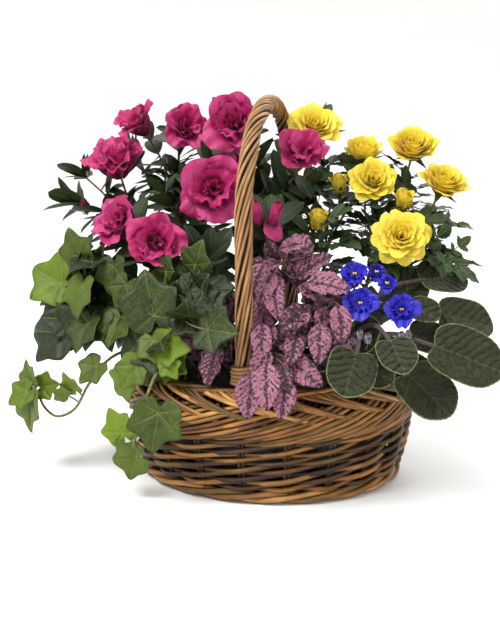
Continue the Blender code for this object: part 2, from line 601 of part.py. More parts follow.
def cone_mesh(radius, low, high, grow):
    """A root ball's tapered plug. A positive grow makes its well, which also runs out of the top."""
    slope = radius * (1 - ROOT_BALL_TAPER) / (high - low)
    reach = high + (0.010 if grow else 0.0)
    depth = reach - low + grow
    plug = bmesh.new()
    bmesh.ops.create_cone(plug, cap_ends=True, segments=14, depth=depth,
                          radius1=radius * ROOT_BALL_TAPER + grow,
                          radius2=radius + slope * (reach - high) + grow)
    bmesh.ops.translate(plug, verts=plug.verts[:], vec=(0, 0, low - grow + depth / 2))
    mesh = bpy.data.meshes.new("plug")
    plug.to_mesh(mesh)
    plug.free()
    return mesh


def keep_grip_clear(bench):
    """Takes up the hand's way under the hoop, so that nothing grows into it."""
    size = GRIP_HIGH - GRIP_LOW
    grip = bmesh.new()
    bmesh.ops.create_cube(grip, size=1.0)
    mesh = bpy.data.meshes.new("grip")
    grip.to_mesh(mesh)
    grip.free()
    mesh.transform(Matrix.Translation((GRIP_LOW + GRIP_HIGH) / 2) @ Matrix.Diagonal((*size, 1)))
    bench.occupy_mesh("grip", mesh)
    bpy.data.meshes.remove(mesh)


def build_blooms(bench, finishes):
    """Every bloom and bud of the azalea and the rose, before the stems that carry them."""
    sets = ((AZALEA_BLOOMS, "azalea", 5, 0.10), (AZALEA_BUDS, "azalea", 3, 0.08),
            (ROSE_BLOOMS, "rose", 5, 0.05), (ROSE_BUDS, "rose", 3, 0.04))
    for blooms, finish, petals, ruffle in sets:
        for name, (centre, facing, radius, depth) in blooms.items():
            mesh = bloom_mesh(Vector(centre), direction(*facing), radius, depth, petals, ruffle)
            if bench.neighbour(name, mesh):
                print(name, "meets", bench.neighbour(name, mesh))
            made = bench.part(name, mesh, finishes[finish])
            bench.occupy(name, made)


def rooted(path):
    """Stem points from a plan position on a root ball: straight up out of it, then the points that follow."""
    x, y = path[0]
    return [Vector((x, y, SOIL_HEIGHT + 2 * GAP)), Vector((x, y, SOIL_HEIGHT + 0.006))] + [
        Vector(point) for point in path[1:]
    ]


def bloom_back(name):
    """The point just behind a bloom where its stem ends, and the way the stem arrives."""
    for blooms in (AZALEA_BLOOMS, AZALEA_BUDS, ROSE_BLOOMS, ROSE_BUDS):
        if name in blooms:
            centre, facing, _, depth = blooms[name]
            way = direction(*facing)
            return Vector(centre) - way * (depth + 2 * GAP), way
    raise KeyError(name)


def twig_tries(start, end, way, key):
    """Curves from a fork to an end: the direct one first, then ones that bow further aside."""
    chance = random.Random(key)
    for attempt in range(TWIG_TRIES):
        aside = Vector([chance.uniform(-1, 1) for _ in range(3)]) * TWIG_BOW * attempt
        leave = ((end - start).normalized() + Vector((0, 0, 0.6)) + aside).normalized()
        yield smooth_path(start, leave, end, way, 6)


def twig_leaves(plant, twig, key):
    """Leaves in turn round the outer part of a twig, as (base, tip, face)."""
    chance = random.Random(key + "leaves")
    count = LEAVES_PER_TWIG[plant]
    spin = chance.uniform(0, 360)
    for index in range(count):
        place = twig[-2 - index]
        axis = (twig[-1] - twig[-3]).normalized()
        side = axis.orthogonal().normalized()
        side.rotate(Matrix.Rotation(math.radians(spin + 137.5 * index), 3, axis))
        out = (side + axis * chance.uniform(0.15, 0.7)).normalized()
        length = LEAF_LENGTH[plant] * chance.uniform(0.8, 1.1)
        base = place - out * 0.001
        face = (axis - out * axis.dot(out) + Vector((0, 0, 0.4))).normalized()
        yield base, base + out * length, face


def build_branched(bench, plant, shoots, finish):
    """Woody shoots that fork to their blooms, with leaves round each twig."""
    radius = BRANCH_RADIUS[plant]
    ready = {}
    for name, shoot in shoots.items():
        trunk = rooted(shoot["trunk"])
        trunk_mesh = tube_mesh(trunk, radius * 1.5, radius * 1.1)
        if bench.neighbour(name, trunk_mesh):
            print(name, "meets", bench.neighbour(name, trunk_mesh))
        meshes = [trunk_mesh]
        targets = [(target, *bloom_back(target)) for target in shoot["blooms"]]
        targets += [(f"end {i}", Vector(p), direction(*w)) for i, (p, w) in enumerate(shoot["ends"])]
        twigs = []
        fork = trunk[-1] - (trunk[-1] - trunk[-2]).normalized() * 0.004
        for target, end, way in targets:
            for twig in twig_tries(fork, end, way, name + target):
                mesh = tube_mesh(twig, radius * 0.8, radius * 0.6)
                if not bench.neighbour(name, mesh):
                    meshes.append(mesh)
                    twigs.append((target, twig))
                    break
            else:
                print("no way to", target, "from", name)
        for mesh in meshes:
            bench.occupy_mesh(name, mesh)
        ready[name] = (meshes, twigs)
    for name, (meshes, twigs) in ready.items():
        for target, twig in twigs:
            for index, (base, tip, face) in enumerate(twig_leaves(plant, twig, name + target)):
                key = f"{name} {target} {index}"
                meshes += sprout_leaf(bench, name, plant, base, tip, face, key)
        union(bench, name, meshes, finish)


def outward_face(base, tip, focus):
    """The way a leaf's upper side looks: out from the heart of the plant, somewhat up, and to the show side."""
    middle = (base + tip) / 2
    show = 0.8 if middle.y < 0.01 else 0.0
    return (middle - focus).normalized() + Vector((0, -show, 0.40))


def build_leafy(bench, shape, shoots, finish, focus, radius):
    """Soft shoots with each leaf on its own stalk."""
    for name, (path, leaves) in shoots.items():
        points = rooted(path)
        stem = tube_mesh(points, radius, radius * 0.7)
        if bench.neighbour(name, stem):
            print(name, "meets", bench.neighbour(name, stem))
        meshes = [stem]
        anchors = [a.lerp(b, t / 4) for a, b in zip(points[1:], points[2:]) for t in range(4)]
        for index, (base, tip) in enumerate(leaves):
            base, tip = Vector(base), Vector(tip)
            face = outward_face(base, tip, focus)
            meshes += grow_leaf(bench, name, shape, base, tip, face, anchors[1:], f"{name} {index}")
        union(bench, name, meshes, finish)


def build_violet(bench, finishes):
    """The crown, the leaves on their own stalks and the blooms on theirs."""
    crown = bmesh.new()
    bmesh.ops.create_cone(crown, cap_ends=True, segments=12, radius1=0.010, radius2=0.007, depth=0.020)
    mesh = bpy.data.meshes.new("violet_crown")
    crown.to_mesh(mesh)
    crown.free()
    mesh.transform(Matrix.Translation((*VIOLET_CROWN, SOIL_HEIGHT + GAP + 0.010)))
    bench.occupy("violet_crown", bench.part("violet_crown", mesh, finishes["violet_leaf"]))
    heart = Vector((*VIOLET_CROWN, SOIL_HEIGHT + 0.012))
    focus = Vector((*VIOLET_CROWN, 0.110))
    for name, (azimuth, base, tip) in VIOLET_LEAVES.items():
        base, tip = Vector(base), Vector(tip)
        root = [heart + direction(azimuth, 0) * VIOLET_STALK_CIRCLE]
        face = outward_face(base, tip, focus)
        grown = grow_leaf(bench, name, "violet", base, tip, face, root, name, VIOLET_STALK_RADIUS, arched=True)
        if grown:
            union(bench, name, grown, finishes["violet_leaf"])
    for name, (centre, facing, radius, depth, azimuth) in VIOLET_BLOOMS.items():
        way = direction(*facing)
        bloom = bloom_mesh(Vector(centre), way, radius, depth, 5, 0.05)
        root = heart + direction(azimuth, 0) * VIOLET_STALK_CIRCLE * 0.5 + Vector((0, 0, 0.012))
        for rise in twig_tries(root, Vector(centre), way, name):
            stalk = tube_mesh(rise, VIOLET_BLOOM_STALK_RADIUS)
            met = bench.neighbour(name, stalk) or bench.neighbour(name, bloom)
            if not met:
                break
        else:
            print("no room for", name, "which meets", met)
        union(bench, name, [bloom, stalk], finishes["violet_bloom"])


def main():
    bench = Bench()
    finishes = {
        "willow": material("brown_willow", (104, 66, 36), 0.55),
        "handle": material("buff_willow_rope", (158, 112, 66), 0.50),
        "binding": material("split_willow_binding", (172, 122, 68), 0.50),
        "liner": material("black_film_liner", (24, 24, 24), 0.45),
        "soil": material("bark_potting_mix", (44, 32, 24), 0.95),
        "azalea": material("azalea_petal", (196, 30, 92), 0.55),
        "azalea_leaf": material("azalea_leaf", (34, 48, 24), 0.40),
        "rose": material("rose_petal", (240, 212, 56), 0.55),
        "rose_leaf": material("rose_leaf", (42, 62, 26), 0.45),
        "ivy": material("ivy_leaf", (74, 104, 28), 0.40),
        "polka": material("polka_dot_leaf", (206, 120, 150), 0.55),
        "violet_leaf": material("violet_leaf", (62, 72, 40), 0.75),
        "violet_bloom": material("violet_petal", (52, 44, 190), 0.60),
    }
    build_basket(bench, finishes)
    build_handle(bench, finishes)
    build_filling(bench, finishes)
    keep_grip_clear(bench)
    build_blooms(bench, finishes)
    build_violet(bench, finishes)
    build_leafy(bench, "polka", POLKA_SHOOTS, finishes["polka"], POLKA_HEART, POLKA_STEM_RADIUS)
    build_leafy(bench, "ivy", IVY_VINES, finishes["ivy"], IVY_HEART, IVY_STEM_RADIUS)
    build_branched(bench, "azalea", AZALEA_BRANCHES, finishes["azalea_leaf"])
    build_branched(bench, "rose", ROSE_CANES, finishes["rose_leaf"])


main()
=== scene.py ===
"""The looks of a planted willow basket: woven rods, a roped hoop handle, and an azalea, a miniature rose, an
ivy, a polka dot plant and an African violet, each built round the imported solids. Metres, +Z up, show side to
-Y."""

import math
import random
from functools import partial

import bmesh
import bpy
import numpy as np
from mathutils import Matrix, Vector
from mathutils.bvhtree import BVHTree


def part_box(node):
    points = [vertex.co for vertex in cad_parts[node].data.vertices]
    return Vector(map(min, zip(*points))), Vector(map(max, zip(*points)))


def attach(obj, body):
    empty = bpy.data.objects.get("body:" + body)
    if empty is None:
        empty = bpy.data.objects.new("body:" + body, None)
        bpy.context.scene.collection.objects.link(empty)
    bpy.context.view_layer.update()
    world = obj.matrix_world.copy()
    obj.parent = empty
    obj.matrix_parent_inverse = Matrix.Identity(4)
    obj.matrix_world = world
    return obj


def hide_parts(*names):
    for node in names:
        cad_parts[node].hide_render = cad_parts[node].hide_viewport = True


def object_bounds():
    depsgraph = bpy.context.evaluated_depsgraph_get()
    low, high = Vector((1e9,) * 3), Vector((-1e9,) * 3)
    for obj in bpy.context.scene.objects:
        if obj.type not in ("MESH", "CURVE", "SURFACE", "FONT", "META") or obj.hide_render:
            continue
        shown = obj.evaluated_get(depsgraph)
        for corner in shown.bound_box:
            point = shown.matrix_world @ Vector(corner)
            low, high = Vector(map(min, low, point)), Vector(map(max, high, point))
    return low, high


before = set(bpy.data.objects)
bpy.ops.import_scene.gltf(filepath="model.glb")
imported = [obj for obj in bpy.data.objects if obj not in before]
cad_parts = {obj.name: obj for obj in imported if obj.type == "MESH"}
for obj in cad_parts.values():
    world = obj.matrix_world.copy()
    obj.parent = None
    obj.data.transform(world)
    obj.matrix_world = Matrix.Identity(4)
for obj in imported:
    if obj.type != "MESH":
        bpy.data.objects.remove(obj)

bl_info = {
    "name": "Planted Flower Basket",
    "version": (1, 0, 0),
    "blender": (4, 5, 0),
    "location": "View3D > Sidebar > Flower Basket",
    "description": "Builds a willow basket planted with azalea, rose, ivy, polka dot plant and violet",
    "category": "Add Mesh",
}

CAD_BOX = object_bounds()
MM = 0.001

# The basket's shape, as its solids have it: (radius along X, height) from bottom to top.
OVAL = 0.252 / 0.290
WALL_PROFILE = ((0.1290, 0.008), (0.1310, 0.014), (0.1350, 0.026), (0.1390, 0.045), (0.1420, 0.066),
                (0.1420, 0.085))
BORDER_PROFILE = ((0.1420, 0.062), (0.1450, 0.072), (0.1462, 0.088), (0.1452, 0.099), (0.1410, 0.1065),
                  (0.1345, 0.1085), (0.1290, 0.1050), (0.1268, 0.097), (0.1262, 0.088))
WALL_LOW, WALL_HIGH = 0.0155, 0.0690  # the heights between which weavers are seen
HANDLE_SPAN, HANDLE_CENTRE, HANDLE_FOOT, HANDLE_RADIUS = 0.108, 0.257, 0.056, 0.0080
SOIL_HEIGHT = 0.100
SOIL_OVAL = 0.79

# The weave: how far a weaver swings before and behind the stakes, how deep it and the stakes stand in the wall,
# and what the stakes, the foot's wale, the woven base and the rim's rolled edge are laid to. Radii unless they
# say more.
WEAVE_SWING, WEAVE_DEPTH = 0.0036, 0.0028
STAKE_ROD, STAKE_DEPTH = 0.0019, 0.0030
WALE_RING, WALE_HEIGHT, WALE_ROD, WALE_SWING, WALE_RISE = 0.1276, 0.0071, 0.0030, 0.0030, 0.0033
BASE_REACH, BASE_ROD, BASE_STICK, BASE_SPACING = 0.1255, 0.0019, 0.0014, 0.0040
ROLL_RING, ROLL_HEIGHT, ROLL_ROD, ROLL_SWING, ROLL_RISE = 0.1345, 0.1062, 0.0024, 0.0034, 0.0026
# The border's two bands, each rod's way in stops from its start to its end: (share of its length, share of the
# way up the border's profile), (share, stakes passed), (share, metres out); then depth, sag, how far the rods of
# a group fan out up the profile and along it, how soon they do, the thickest rod, the darkest tint and the
# points on a rod.
BORDER_BANDS = (
    (((0, 0.98), (0.22, 0.72), (0.40, 0.56), (1, 0.20)), ((0, -0.2), (0.22, 0.05), (0.40, 0.45), (1, 2.45)),
     ((0, -0.0005), (0.3, 0.0008), (0.55, 0.0026), (0.8, 0.0006), (1, -0.0045)),
     0.0022, 0.0012, 0.055, 0.42, 0, 1.10, 0.40, 20),
    (((0, 0.0), (0.5, 0.20), (1, 0.44)), ((0, 0.9), (1, 3.25)),
     ((0, -0.0040), (0.25, 0.0008), (0.5, 0.0030), (0.78, 0.0008), (1, -0.0045)),
     0.0020, 0.0, 0.050, 0.40, 1, 1.12, 0.35, 16),
)
BAND_RODS, BAND_GAP = 5, 0.50
# The handle's twist, as (height, metres for one turn), its core, and the binding's layers, as (radius, turns).
TWIST = ((0.11, 0.24), (0.25, 0.18), (0.33, 0.11), (0.37, 0.085))
HANDLE_CORE = 0.0050
BINDING_LAYERS, BINDING_ROD = ((0.0098, 5.2), (0.0104, 4.6)), 0.0019

GOLDEN_ANGLE = 137.5
UP = Vector((0, 0, 1))
LEAF_STALK, BLOOM_STALK, VIOLET_STALK, LEAF_THICKNESS, VIOLET_THICKNESS = 0.00075, 0.0008, 0.0012, 0.0004, 0.0009
ANY_PHASE = 6.28  # a full turn in radians, near enough for a phase left to chance
NO_VEIN = 9.0  # millimetres to the nearest vein where there is none

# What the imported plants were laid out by, repeated so that each leaf here lies on its solid.
LEAF_SHAPES = {  # the middle as a share of length, and (angle from the tip, radius) round half of it
    "azalea": (0.55, ((0, 0.45), (52, 0.25), (128, 0.25), (180, 0.55))),
    "rose": (0.55, ((0, 0.45), (25, 0.25), (55, 0.38), (112, 0.30), (180, 0.55))),
    "ivy": (0.15, ((0, 0.85), (29, 0.50), (56, 0.68), (112, 0.44), (180, 0.10))),
    "polka": (0.45, ((0, 0.55), (52, 0.31), (122, 0.31), (180, 0.45))),
    "violet": (0.48, ((0, 0.52), (40, 0.49), (90, 0.43), (140, 0.49), (180, 0.38))),
}
LEAF_FOLD, LEAF_DROOP = 0.18, 0.16
LEAF_TRIES, LEAF_SHIFT, LEAF_SWING, LEAF_LEAN = 40, 0.0012, 0.0016, 0.03
TWIG_TRIES, TWIG_BOW = 60, 0.03
BRANCH_RADIUS = {"azalea": 0.0018, "rose": 0.0017}
LEAF_LENGTH = {"azalea": 0.046, "rose": 0.056}
LEAVES_PER_TWIG = {"azalea": 3, "rose": 2}
FIT = 0.0004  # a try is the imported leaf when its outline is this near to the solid

# Leaves more at the back of two polka dot shoots, as (base, tip).
POLKA_EXTRA = {
    "polka_dot_shoot_1": (((0.016, -0.064, 0.196), (0.020, -0.084, 0.160)),
                          ((0.004, -0.060, 0.188), (0.008, -0.078, 0.150))),
    "polka_dot_shoot_3": (((0.014, -0.084, 0.176), (0.014, -0.098, 0.138)),
                          ((0.028, -0.082, 0.166), (0.034, -0.096, 0.128))),
}

# The way each bloom faces: azimuth from +X and elevation, in degrees.
AZALEA_BLOOMS = {
    "azalea_flower_1": (-125, 50), "azalea_flower_2": (-60, 25), "azalea_flower_3": (-95, 60),
    "azalea_flower_4": (-85, 20), "azalea_flower_5": (-75, 10), "azalea_flower_6": (-120, 35),
    "azalea_flower_7": (-70, 15), "azalea_flower_8": (-70, 35), "azalea_flower_9": (105, 35),
}
AZALEA_BUDS = {"azalea_bud_1": (-80, 65)}
AZALEA_SMALL_BUDS = (
    ((-0.196, 0.008, 0.256), (-100, 60), 0.017), ((-0.052, -0.052, 0.200), (-80, 70), 0.016),
    ((-0.028, 0.078, 0.304), (100, 70), 0.015), ((-0.205, 0.036, 0.292), (160, 60), 0.014),
    ((0.026, 0.030, 0.284), (20, 60), 0.015),
)
ROSE_BLOOMS = {
    "rose_flower_1": (-70, 40), "rose_flower_2": (-75, 50), "rose_flower_3": (-80, 30),
    "rose_flower_4": (-50, 55), "rose_flower_5": (-80, 22), "rose_flower_6": (80, 45),
}
ROSE_BUDS = {"rose_bud_1": (-80, 65), "rose_bud_2": (-95, 70), "rose_bud_3": (-85, 70), "rose_bud_4": (-85, 60)}
VIOLET_BLOOMS = {"violet_flower_1": (-85, 35, 0), "violet_flower_2": (-80, 25, -110),
                 "violet_flower_3": (-75, 25, -50)}
FACING = {**AZALEA_BLOOMS, **AZALEA_BUDS, **ROSE_BLOOMS, **ROSE_BUDS}

# Petals: the azalea's whorls as (count, length, width, lift, spread), the violet's as (azimuth, length, spread),
# with lengths and widths as shares of the bloom's own and angles in degrees, and the roses' numbers of petals.
AZALEA_WHORLS = ((5, 1.0, 0.80, 16, 86), (5, 0.92, 0.66, 8, 54), (4, 0.72, 0.42, 2, 30))
VIOLET_PETALS = ((62, 0.86, 82), (118, 0.86, 82), (0, 1.04, 84), (180, 1.04, 84), (270, 1.14, 84),
                 (30, 0.66, 52), (150, 0.66, 52), (235, 0.72, 56), (305, 0.72, 56))
ROSE_PETALS, OPENING_ROSE_PETALS, OPENING_ROSE_RADIUS = 44, 28, 0.013
# How far each open rose closes over its middle, from 0 for a flat rosette to 1 for a ball.
ROSE_BALL = {
    "rose_flower_1": 0.30, "rose_flower_2": 0.75, "rose_flower_3": 0.40, "rose_flower_4": 0.65,
    "rose_flower_5": 0.08, "rose_flower_6": 0.40,
}

# Woody shoots: the trunk's points, the blooms that it carries and its leafy ends.
AZALEA_BRANCHES = {
    "azalea_branch_1": (
        ((-0.070, 0.030), (-0.100, 0.020, 0.150), (-0.128, 0.010, 0.195)),
        ("azalea_flower_3", "azalea_flower_6"),
        (((-0.200, 0.012, 0.262), (190, 10)), ((-0.206, 0.034, 0.288), (170, 35)),
         ((-0.170, 0.045, 0.235), (140, 20))),
    ),
    "azalea_branch_2": (
        ((-0.058, 0.050), (-0.085, 0.055, 0.170), (-0.110, 0.056, 0.240)),
        ("azalea_flower_1", "azalea_flower_2"),
        (((-0.166, 0.078, 0.300), (160, 30)), ((-0.078, 0.052, 0.300), (60, 70)),
         ((-0.120, 0.095, 0.255), (110, 30))),
    ),
    "azalea_branch_3": (
        ((-0.052, 0.020), (-0.070, -0.005, 0.150), (-0.075, -0.020, 0.195)),
        ("azalea_flower_5", "azalea_flower_7"),
        (((-0.105, -0.010, 0.275), (150, 45)), ((-0.052, -0.045, 0.215), (-70, 30))),
    ),
    "azalea_branch_4": (
        ((-0.034, 0.040), (-0.030, 0.044, 0.170), (-0.026, 0.046, 0.230)),
        ("azalea_flower_4", "azalea_flower_8", "azalea_flower_9", "azalea_bud_1"),
        (((-0.030, 0.075, 0.300), (100, 60)), ((0.028, 0.030, 0.280), (20, 40)),
         ((-0.020, 0.100, 0.235), (95, 25))),
    ),
}
ROSE_CANES = {
    "rose_cane_1": (
        ((0.046, 0.030), (0.048, 0.030, 0.160), (0.050, 0.030, 0.215)),
        ("rose_flower_1", "rose_bud_1", "rose_bud_2", "rose_bud_3"),
        (((0.050, 0.075, 0.280), (90, 50)), ((0.030, 0.055, 0.230), (120, 20))),
    ),
    "rose_cane_2": (
        ((0.068, 0.046), (0.085, 0.046, 0.160), (0.100, 0.042, 0.220)),
        ("rose_flower_2", "rose_flower_3", "rose_bud_4", "rose_flower_6"),
        (((0.125, 0.060, 0.270), (60, 40)), ((0.110, 0.095, 0.225), (70, 20))),
    ),
    "rose_cane_3": (
        ((0.080, 0.028), (0.105, 0.022, 0.150), (0.128, 0.018, 0.200)),
        ("rose_flower_4", "rose_flower_5"),
        (((0.172, 0.000, 0.222), (-20, 10)), ((0.165, 0.010, 0.250), (0, 35)),
         ((0.160, 0.050, 0.210), (40, 15))),
    ),
}

# Trailing and tufted shoots: stem points, leaves as (base, tip), and how light each leaf is, from 0 to 1.
IVY_VINES = {
    "ivy_vine_1": (
        ((-0.092, -0.036), (-0.115, -0.062, 0.128), (-0.138, -0.080, 0.124), (-0.160, -0.085, 0.098),
         (-0.178, -0.080, 0.070), (-0.198, -0.078, 0.060), (-0.214, -0.072, 0.066), (-0.222, -0.070, 0.080)),
        (((-0.226, -0.074, 0.082), (-0.224, -0.080, 0.040)), ((-0.220, -0.070, 0.086), (-0.196, -0.072, 0.092)),
         ((-0.226, -0.070, 0.088), (-0.236, -0.064, 0.114)), ((-0.230, -0.074, 0.080), (-0.252, -0.076, 0.062)),
         ((-0.184, -0.084, 0.084), (-0.198, -0.090, 0.092)), ((-0.174, -0.086, 0.090), (-0.184, -0.092, 0.110)),
         ((-0.146, -0.090, 0.120), (-0.164, -0.100, 0.100))),
        (0.62, 0.70, 0.66, 0.72, 0.75, 0.70, 0.60),
    ),
    "ivy_vine_2": (
        ((-0.090, -0.020), (-0.125, -0.030, 0.135), (-0.160, -0.040, 0.165), (-0.185, -0.042, 0.190)),
        (((-0.186, -0.070, 0.142), (-0.236, -0.046, 0.138)), ((-0.196, -0.048, 0.184), (-0.240, -0.034, 0.202)),
         ((-0.168, -0.070, 0.196), (-0.172, -0.082, 0.160)), ((-0.182, -0.046, 0.212), (-0.194, -0.046, 0.246)),
         ((-0.160, -0.075, 0.160), (-0.170, -0.092, 0.128)), ((-0.172, -0.010, 0.160), (-0.208, 0.010, 0.140)),
         ((-0.140, -0.062, 0.215), (-0.140, -0.070, 0.182)), ((-0.150, 0.000, 0.185), (-0.190, 0.016, 0.190)),
         ((-0.128, -0.078, 0.165), (-0.136, -0.094, 0.135))),
        (0.12, 0.80, 0.62, 0.60, 0.40, 0.30, 0.45, 0.30, 0.50),
    ),
    "ivy_vine_3": (
        ((-0.062, -0.046), (-0.070, -0.070, 0.130), (-0.078, -0.084, 0.150), (-0.070, -0.096, 0.174)),
        (((-0.086, -0.098, 0.163), (-0.100, -0.088, 0.212)), ((-0.088, -0.104, 0.152), (-0.076, -0.118, 0.128)),
         ((-0.032, -0.126, 0.170), (0.006, -0.132, 0.172)), ((-0.099, -0.112, 0.130), (-0.112, -0.122, 0.104)),
         ((-0.070, -0.118, 0.134), (-0.058, -0.124, 0.118)), ((-0.044, -0.092, 0.196), (-0.030, -0.098, 0.180)),
         ((-0.056, -0.072, 0.212), (-0.046, -0.078, 0.240)), ((-0.112, -0.088, 0.196), (-0.122, -0.100, 0.170)),
         ((-0.084, -0.074, 0.206), (-0.076, -0.080, 0.226))),
        (0.42, 0.60, 0.40, 0.72, 0.80, 0.35, 0.48, 0.45, 0.50),
    ),
    "ivy_vine_4": (
        ((-0.072, -0.058), (-0.074, -0.090, 0.122), (-0.078, -0.122, 0.122), (-0.084, -0.138, 0.100),
         (-0.092, -0.138, 0.072), (-0.100, -0.130, 0.052)),
        (((-0.070, -0.138, 0.096), (-0.076, -0.146, 0.052)), ((-0.108, -0.126, 0.060), (-0.126, -0.122, 0.086)),
         ((-0.092, -0.128, 0.044), (-0.124, -0.120, 0.034)), ((-0.112, -0.112, 0.112), (-0.134, -0.108, 0.090))),
        (0.50, 0.92, 0.62, 0.75),
    ),
    "ivy_vine_5": (
        ((-0.080, -0.010), (-0.112, 0.020, 0.122), (-0.136, 0.052, 0.124), (-0.142, 0.082, 0.098),
         (-0.138, 0.096, 0.066)),
        (((-0.150, 0.046, 0.130), (-0.182, 0.052, 0.110)), ((-0.128, 0.082, 0.128), (-0.138, 0.112, 0.112)),
         ((-0.152, 0.084, 0.092), (-0.176, 0.092, 0.068)), ((-0.132, 0.106, 0.076), (-0.128, 0.122, 0.044)),
         ((-0.110, 0.050, 0.140), (-0.128, 0.060, 0.172))),
        (0.50, 0.40, 0.65, 0.60, 0.45),
    ),
}
POLKA_SHOOTS = {
    "polka_dot_shoot_1": (
        ((0.010, -0.040), (0.020, -0.048, 0.150), (0.024, -0.058, 0.205), (0.028, -0.060, 0.222)),
        (((0.024, -0.066, 0.232), (0.056, -0.076, 0.240)), ((0.012, -0.074, 0.220), (0.002, -0.092, 0.184)),
         ((0.040, -0.070, 0.206), (0.074, -0.066, 0.228)), ((0.020, -0.086, 0.204), (0.032, -0.104, 0.172)),
         ((0.034, -0.046, 0.220), (0.050, -0.030, 0.232)), ((0.012, -0.052, 0.210), (-0.008, -0.062, 0.220))),
        (0.85, 0.70, 0.35, 0.75, 0.40, 0.25),
    ),
    "polka_dot_shoot_2": (
        ((0.022, -0.060), (0.044, -0.074, 0.135), (0.062, -0.090, 0.172)),
        (((0.054, -0.088, 0.206), (0.094, -0.094, 0.200)), ((0.084, -0.098, 0.188), (0.090, -0.114, 0.156)),
         ((0.070, -0.110, 0.172), (0.072, -0.130, 0.140)), ((0.058, -0.096, 0.184), (0.034, -0.116, 0.166)),
         ((0.066, -0.096, 0.184), (0.066, -0.114, 0.200)), ((0.050, -0.106, 0.164), (0.046, -0.128, 0.136)),
         ((0.084, -0.108, 0.170), (0.106, -0.126, 0.150)), ((0.066, -0.080, 0.184), (0.078, -0.064, 0.190))),
        (0.80, 0.72, 0.55, 0.15, 0.08, 0.35, 0.75, 0.12),
    ),
    "polka_dot_shoot_3": (
        ((0.004, -0.070), (0.016, -0.092, 0.128), (0.024, -0.108, 0.148)),
        (((0.026, -0.130, 0.140), (0.030, -0.146, 0.100)), ((0.014, -0.128, 0.130), (0.012, -0.142, 0.090)),
         ((0.044, -0.128, 0.126), (0.042, -0.142, 0.092)), ((0.044, -0.120, 0.142), (0.074, -0.134, 0.122)),
         ((0.018, -0.102, 0.172), (0.016, -0.124, 0.142)), ((0.036, -0.098, 0.160), (0.056, -0.120, 0.152))),
        (0.90, 0.65, 0.62, 0.80, 0.60, 0.50),
    ),
    "polka_dot_shoot_4": (
        ((-0.016, -0.056), (-0.030, -0.078, 0.126), (-0.032, -0.092, 0.146)),
        (((-0.026, -0.100, 0.148), (-0.030, -0.122, 0.112)), ((-0.044, -0.098, 0.158), (-0.054, -0.106, 0.172)),
         ((-0.020, -0.078, 0.162), (-0.012, -0.072, 0.196))),
        (0.30, 0.60, 0.40),
    ),
}
IVY_FILL = {"ivy_vine_1": 0, "ivy_vine_2": 5, "ivy_vine_3": 4, "ivy_vine_4": 0, "ivy_vine_5": 3}
IVY_HEART = Vector((-0.070, -0.010, 0.120))
POLKA_HEART = Vector((0.020, -0.030, 0.130))
VIOLET_CROWN = (0.074, -0.030)
VIOLET_HEART = Vector((*VIOLET_CROWN, 0.110))
VIOLET_STALK_CIRCLE = 0.014
VIOLET_LEAVES = {
    "violet_leaf_1": (-85, (0.104, -0.112, 0.152), (0.098, -0.152, 0.118)),
    "violet_leaf_2": (-62, (0.130, -0.108, 0.162), (0.148, -0.138, 0.138)),
    "violet_leaf_3": (-40, (0.140, -0.078, 0.128), (0.186, -0.104, 0.092)),
    "violet_leaf_4": (-18, (0.160, -0.090, 0.156), (0.230, -0.086, 0.130)),
    "violet_leaf_5": (28, (0.146, -0.018, 0.200), (0.190, 0.010, 0.198)),
    "violet_leaf_6": (5, (0.164, -0.036, 0.172), (0.218, -0.022, 0.158)),
}
# How much narrower some violet leaves are than round ones; 0.95 for the rest.
VIOLET_SLIM = {"violet_leaf_3": 0.84, "violet_leaf_4": 0.78, "violet_leaf_6": 0.85}
VIOLET_PLACES = {
    "violet_flower_1": ((0.093, -0.060, 0.210), 0.0135),
    "violet_flower_2": ((0.102, -0.086, 0.188), 0.0165),
    "violet_flower_3": ((0.138, -0.082, 0.183), 0.0165),
}

# More of the violet, between its packed leaves: (azimuth of the stalk, base, tip), and small blooms and buds.
VIOLET_FILLERS = (
    (-35, (0.138, -0.046, 0.182), (0.170, -0.058, 0.170)), (40, (0.120, -0.020, 0.168), (0.150, -0.004, 0.206)),
    (-75, (0.096, -0.062, 0.146), (0.122, -0.082, 0.166)), (10, (0.136, -0.028, 0.150), (0.180, -0.030, 0.140)),
    (20, (0.114, -0.040, 0.134), (0.152, -0.046, 0.130)), (-50, (0.108, -0.070, 0.124), (0.134, -0.090, 0.118)),
    (110, (0.064, 0.002, 0.146), (0.050, 0.022, 0.160)), (70, (0.098, 0.004, 0.150), (0.120, 0.034, 0.160)),
    (-110, (0.066, -0.066, 0.130), (0.058, -0.096, 0.124)),
    (-15, (0.132, -0.060, 0.130), (0.168, -0.076, 0.112)),
)
VIOLET_SPRAYS = ((0.124, -0.066, 0.204, 0.0095), (0.112, -0.052, 0.212, 0.0085), (0.086, -0.080, 0.200, 0.0075))
VIOLET_BUDS = ((0.104, -0.100, 0.160, 0.0045), (0.111, -0.098, 0.156, 0.0050), (0.099, -0.096, 0.153, 0.0042),
               (0.140, -0.092, 0.158, 0.0048), (0.146, -0.090, 0.160, 0.0042), (0.135, -0.090, 0.154, 0.0040))


